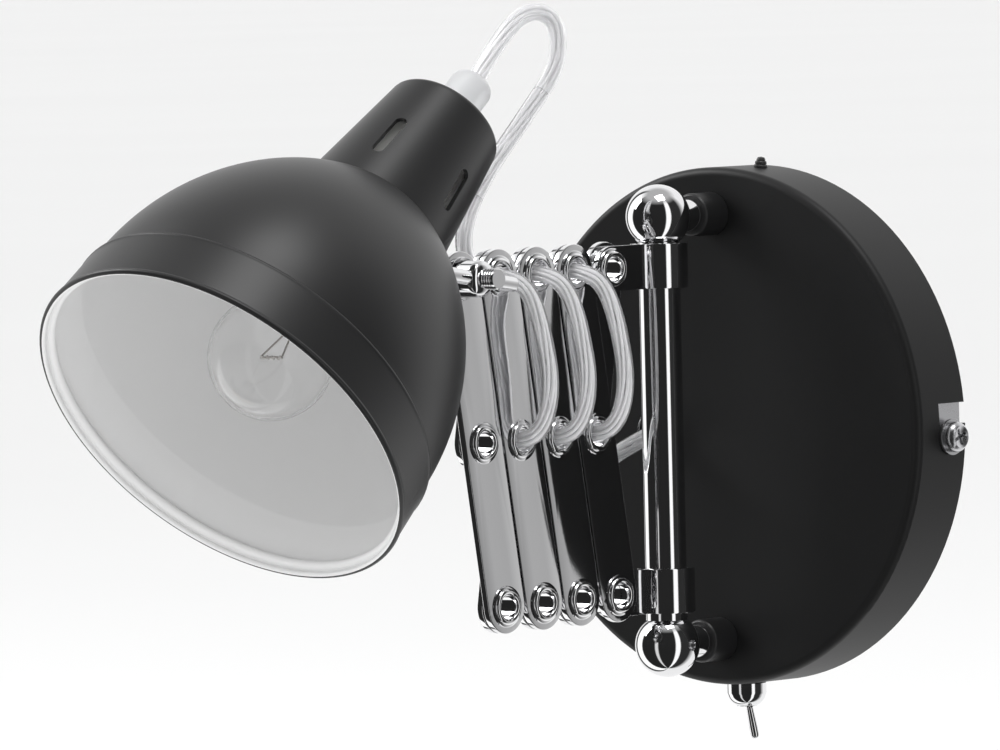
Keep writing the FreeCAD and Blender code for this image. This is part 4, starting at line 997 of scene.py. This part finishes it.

# %% [markdown]
# ## Cable
# The cable is a clear sheath round fine tinned strands that wind slowly inside it. It comes out of the canopy,
# threads through the arm's hollow rivets in loops from crossing to crossing, rises behind the head joint and
# loops over into the shade's grip. Each run is one spline. The runs that cross a joint ride on neither of the
# joint's two bodies and stay where they are drawn.

# %% Cable
CABLE = 2.5 * MM
CORE_RADIUS = 0.46 * MM
STRANDS = 6


def cable(name, points, bodies):
    """One run of cable: sheath and strands in one mesh."""
    line = route_line(points)
    shapes = [(tube_along(line, CABLE, sides=24), Matrix.Identity(4), 0)]
    for number in range(STRANDS):
        strand = tube_along(line, CORE_RADIUS, sides=8, off=1.2 * MM, start_angle=math.tau * number / STRANDS,
                            pitch=0.12)
        shapes.append((strand, Matrix.Identity(4), 1))
    run = piece(name, shapes, [SHEATH, CORE], bodies[0] if len(bodies) == 1 else None, [name])
    if len(bodies) == 2:
        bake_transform(run)
    return length_of(line)


def spot(x, place, y=0.0, z=0.0):
    """A route point: a pivot's place, moved, in metres."""
    return Vector((x, place.y + y, place.z + z))


out = Vector((-0.0205, -0.038, -0.005))
droop = Vector((-0.0175, -0.058, -0.0125))
waist = out + (droop - out) * 0.65
bush_end = Vector((BUSH_X * MM, -CANOPY_DEPTH + 1 * MM, BUSH_Z * MM))
runs = {}
runs["cable_inlet"] = cable("cable_inlet", [bush_end, out, waist], ["base", "swing"])
slack = [waist, droop, spot(-0.013, middle[0]), spot(0, middle[0])]
runs["cable_slack"] = cable("cable_slack", slack, ["swing", "back_0"])
for number in range(3):
    low, high = middle[number], upper[number + 1]
    name = "cable_front_%d" % number
    runs[name] = cable(name, [
        spot(0, low), spot(0.0086, low), spot(0.0115, low, 0.0034, 0.014), spot(0.011, high, 0.0076, -0.0135),
        spot(0.0068, high, 0.0066, -0.0032), spot(0.0046, high), spot(0, high),
    ], ["front_%d" % number])
for number in (1, 2):
    low, high = middle[number], upper[number]
    name = "cable_back_%d" % number
    runs[name] = cable(name, [
        spot(0, high), spot(-0.0084, high), spot(-0.0102, high, 0.0005, -0.016), spot(-0.0102, low, 0.002, 0.015),
        spot(-0.0084, low), spot(0, low),
    ], ["back_%d" % number])
gland = in_shade(0, 0, SHADE_LENGTH + 17)
route = [
    spot(0, upper[3]), spot(-0.0086, upper[3]), spot(-0.01, upper[3], -0.0025, 0.013),
    Vector((-0.009, -0.11, 0.076)), Vector((-0.0065, -0.095, 0.092)), Vector((-0.003, -0.084, 0.106)),
    Vector((0, -0.0875, 0.119)),
    Vector((0.0035, -0.102, 0.123)), Vector((0.007, -0.119, 0.117)), gland,
]
first_cut = route[2] + (route[3] - route[2]) * 0.6
second_cut = (route[4] + route[5]) * 0.5
runs["cable_rise"] = cable("cable_rise", route[:3] + [first_cut], ["back_3", "front_3"])
runs["cable_climb"] = cable("cable_climb", [first_cut] + route[3:5] + [second_cut], ["front_3", "knuckle"])
runs["cable_loop"] = cable("cable_loop", [second_cut] + route[5:], ["knuckle", "head"])
print({name: round(run * 1000, 1) for name, run in runs.items()})
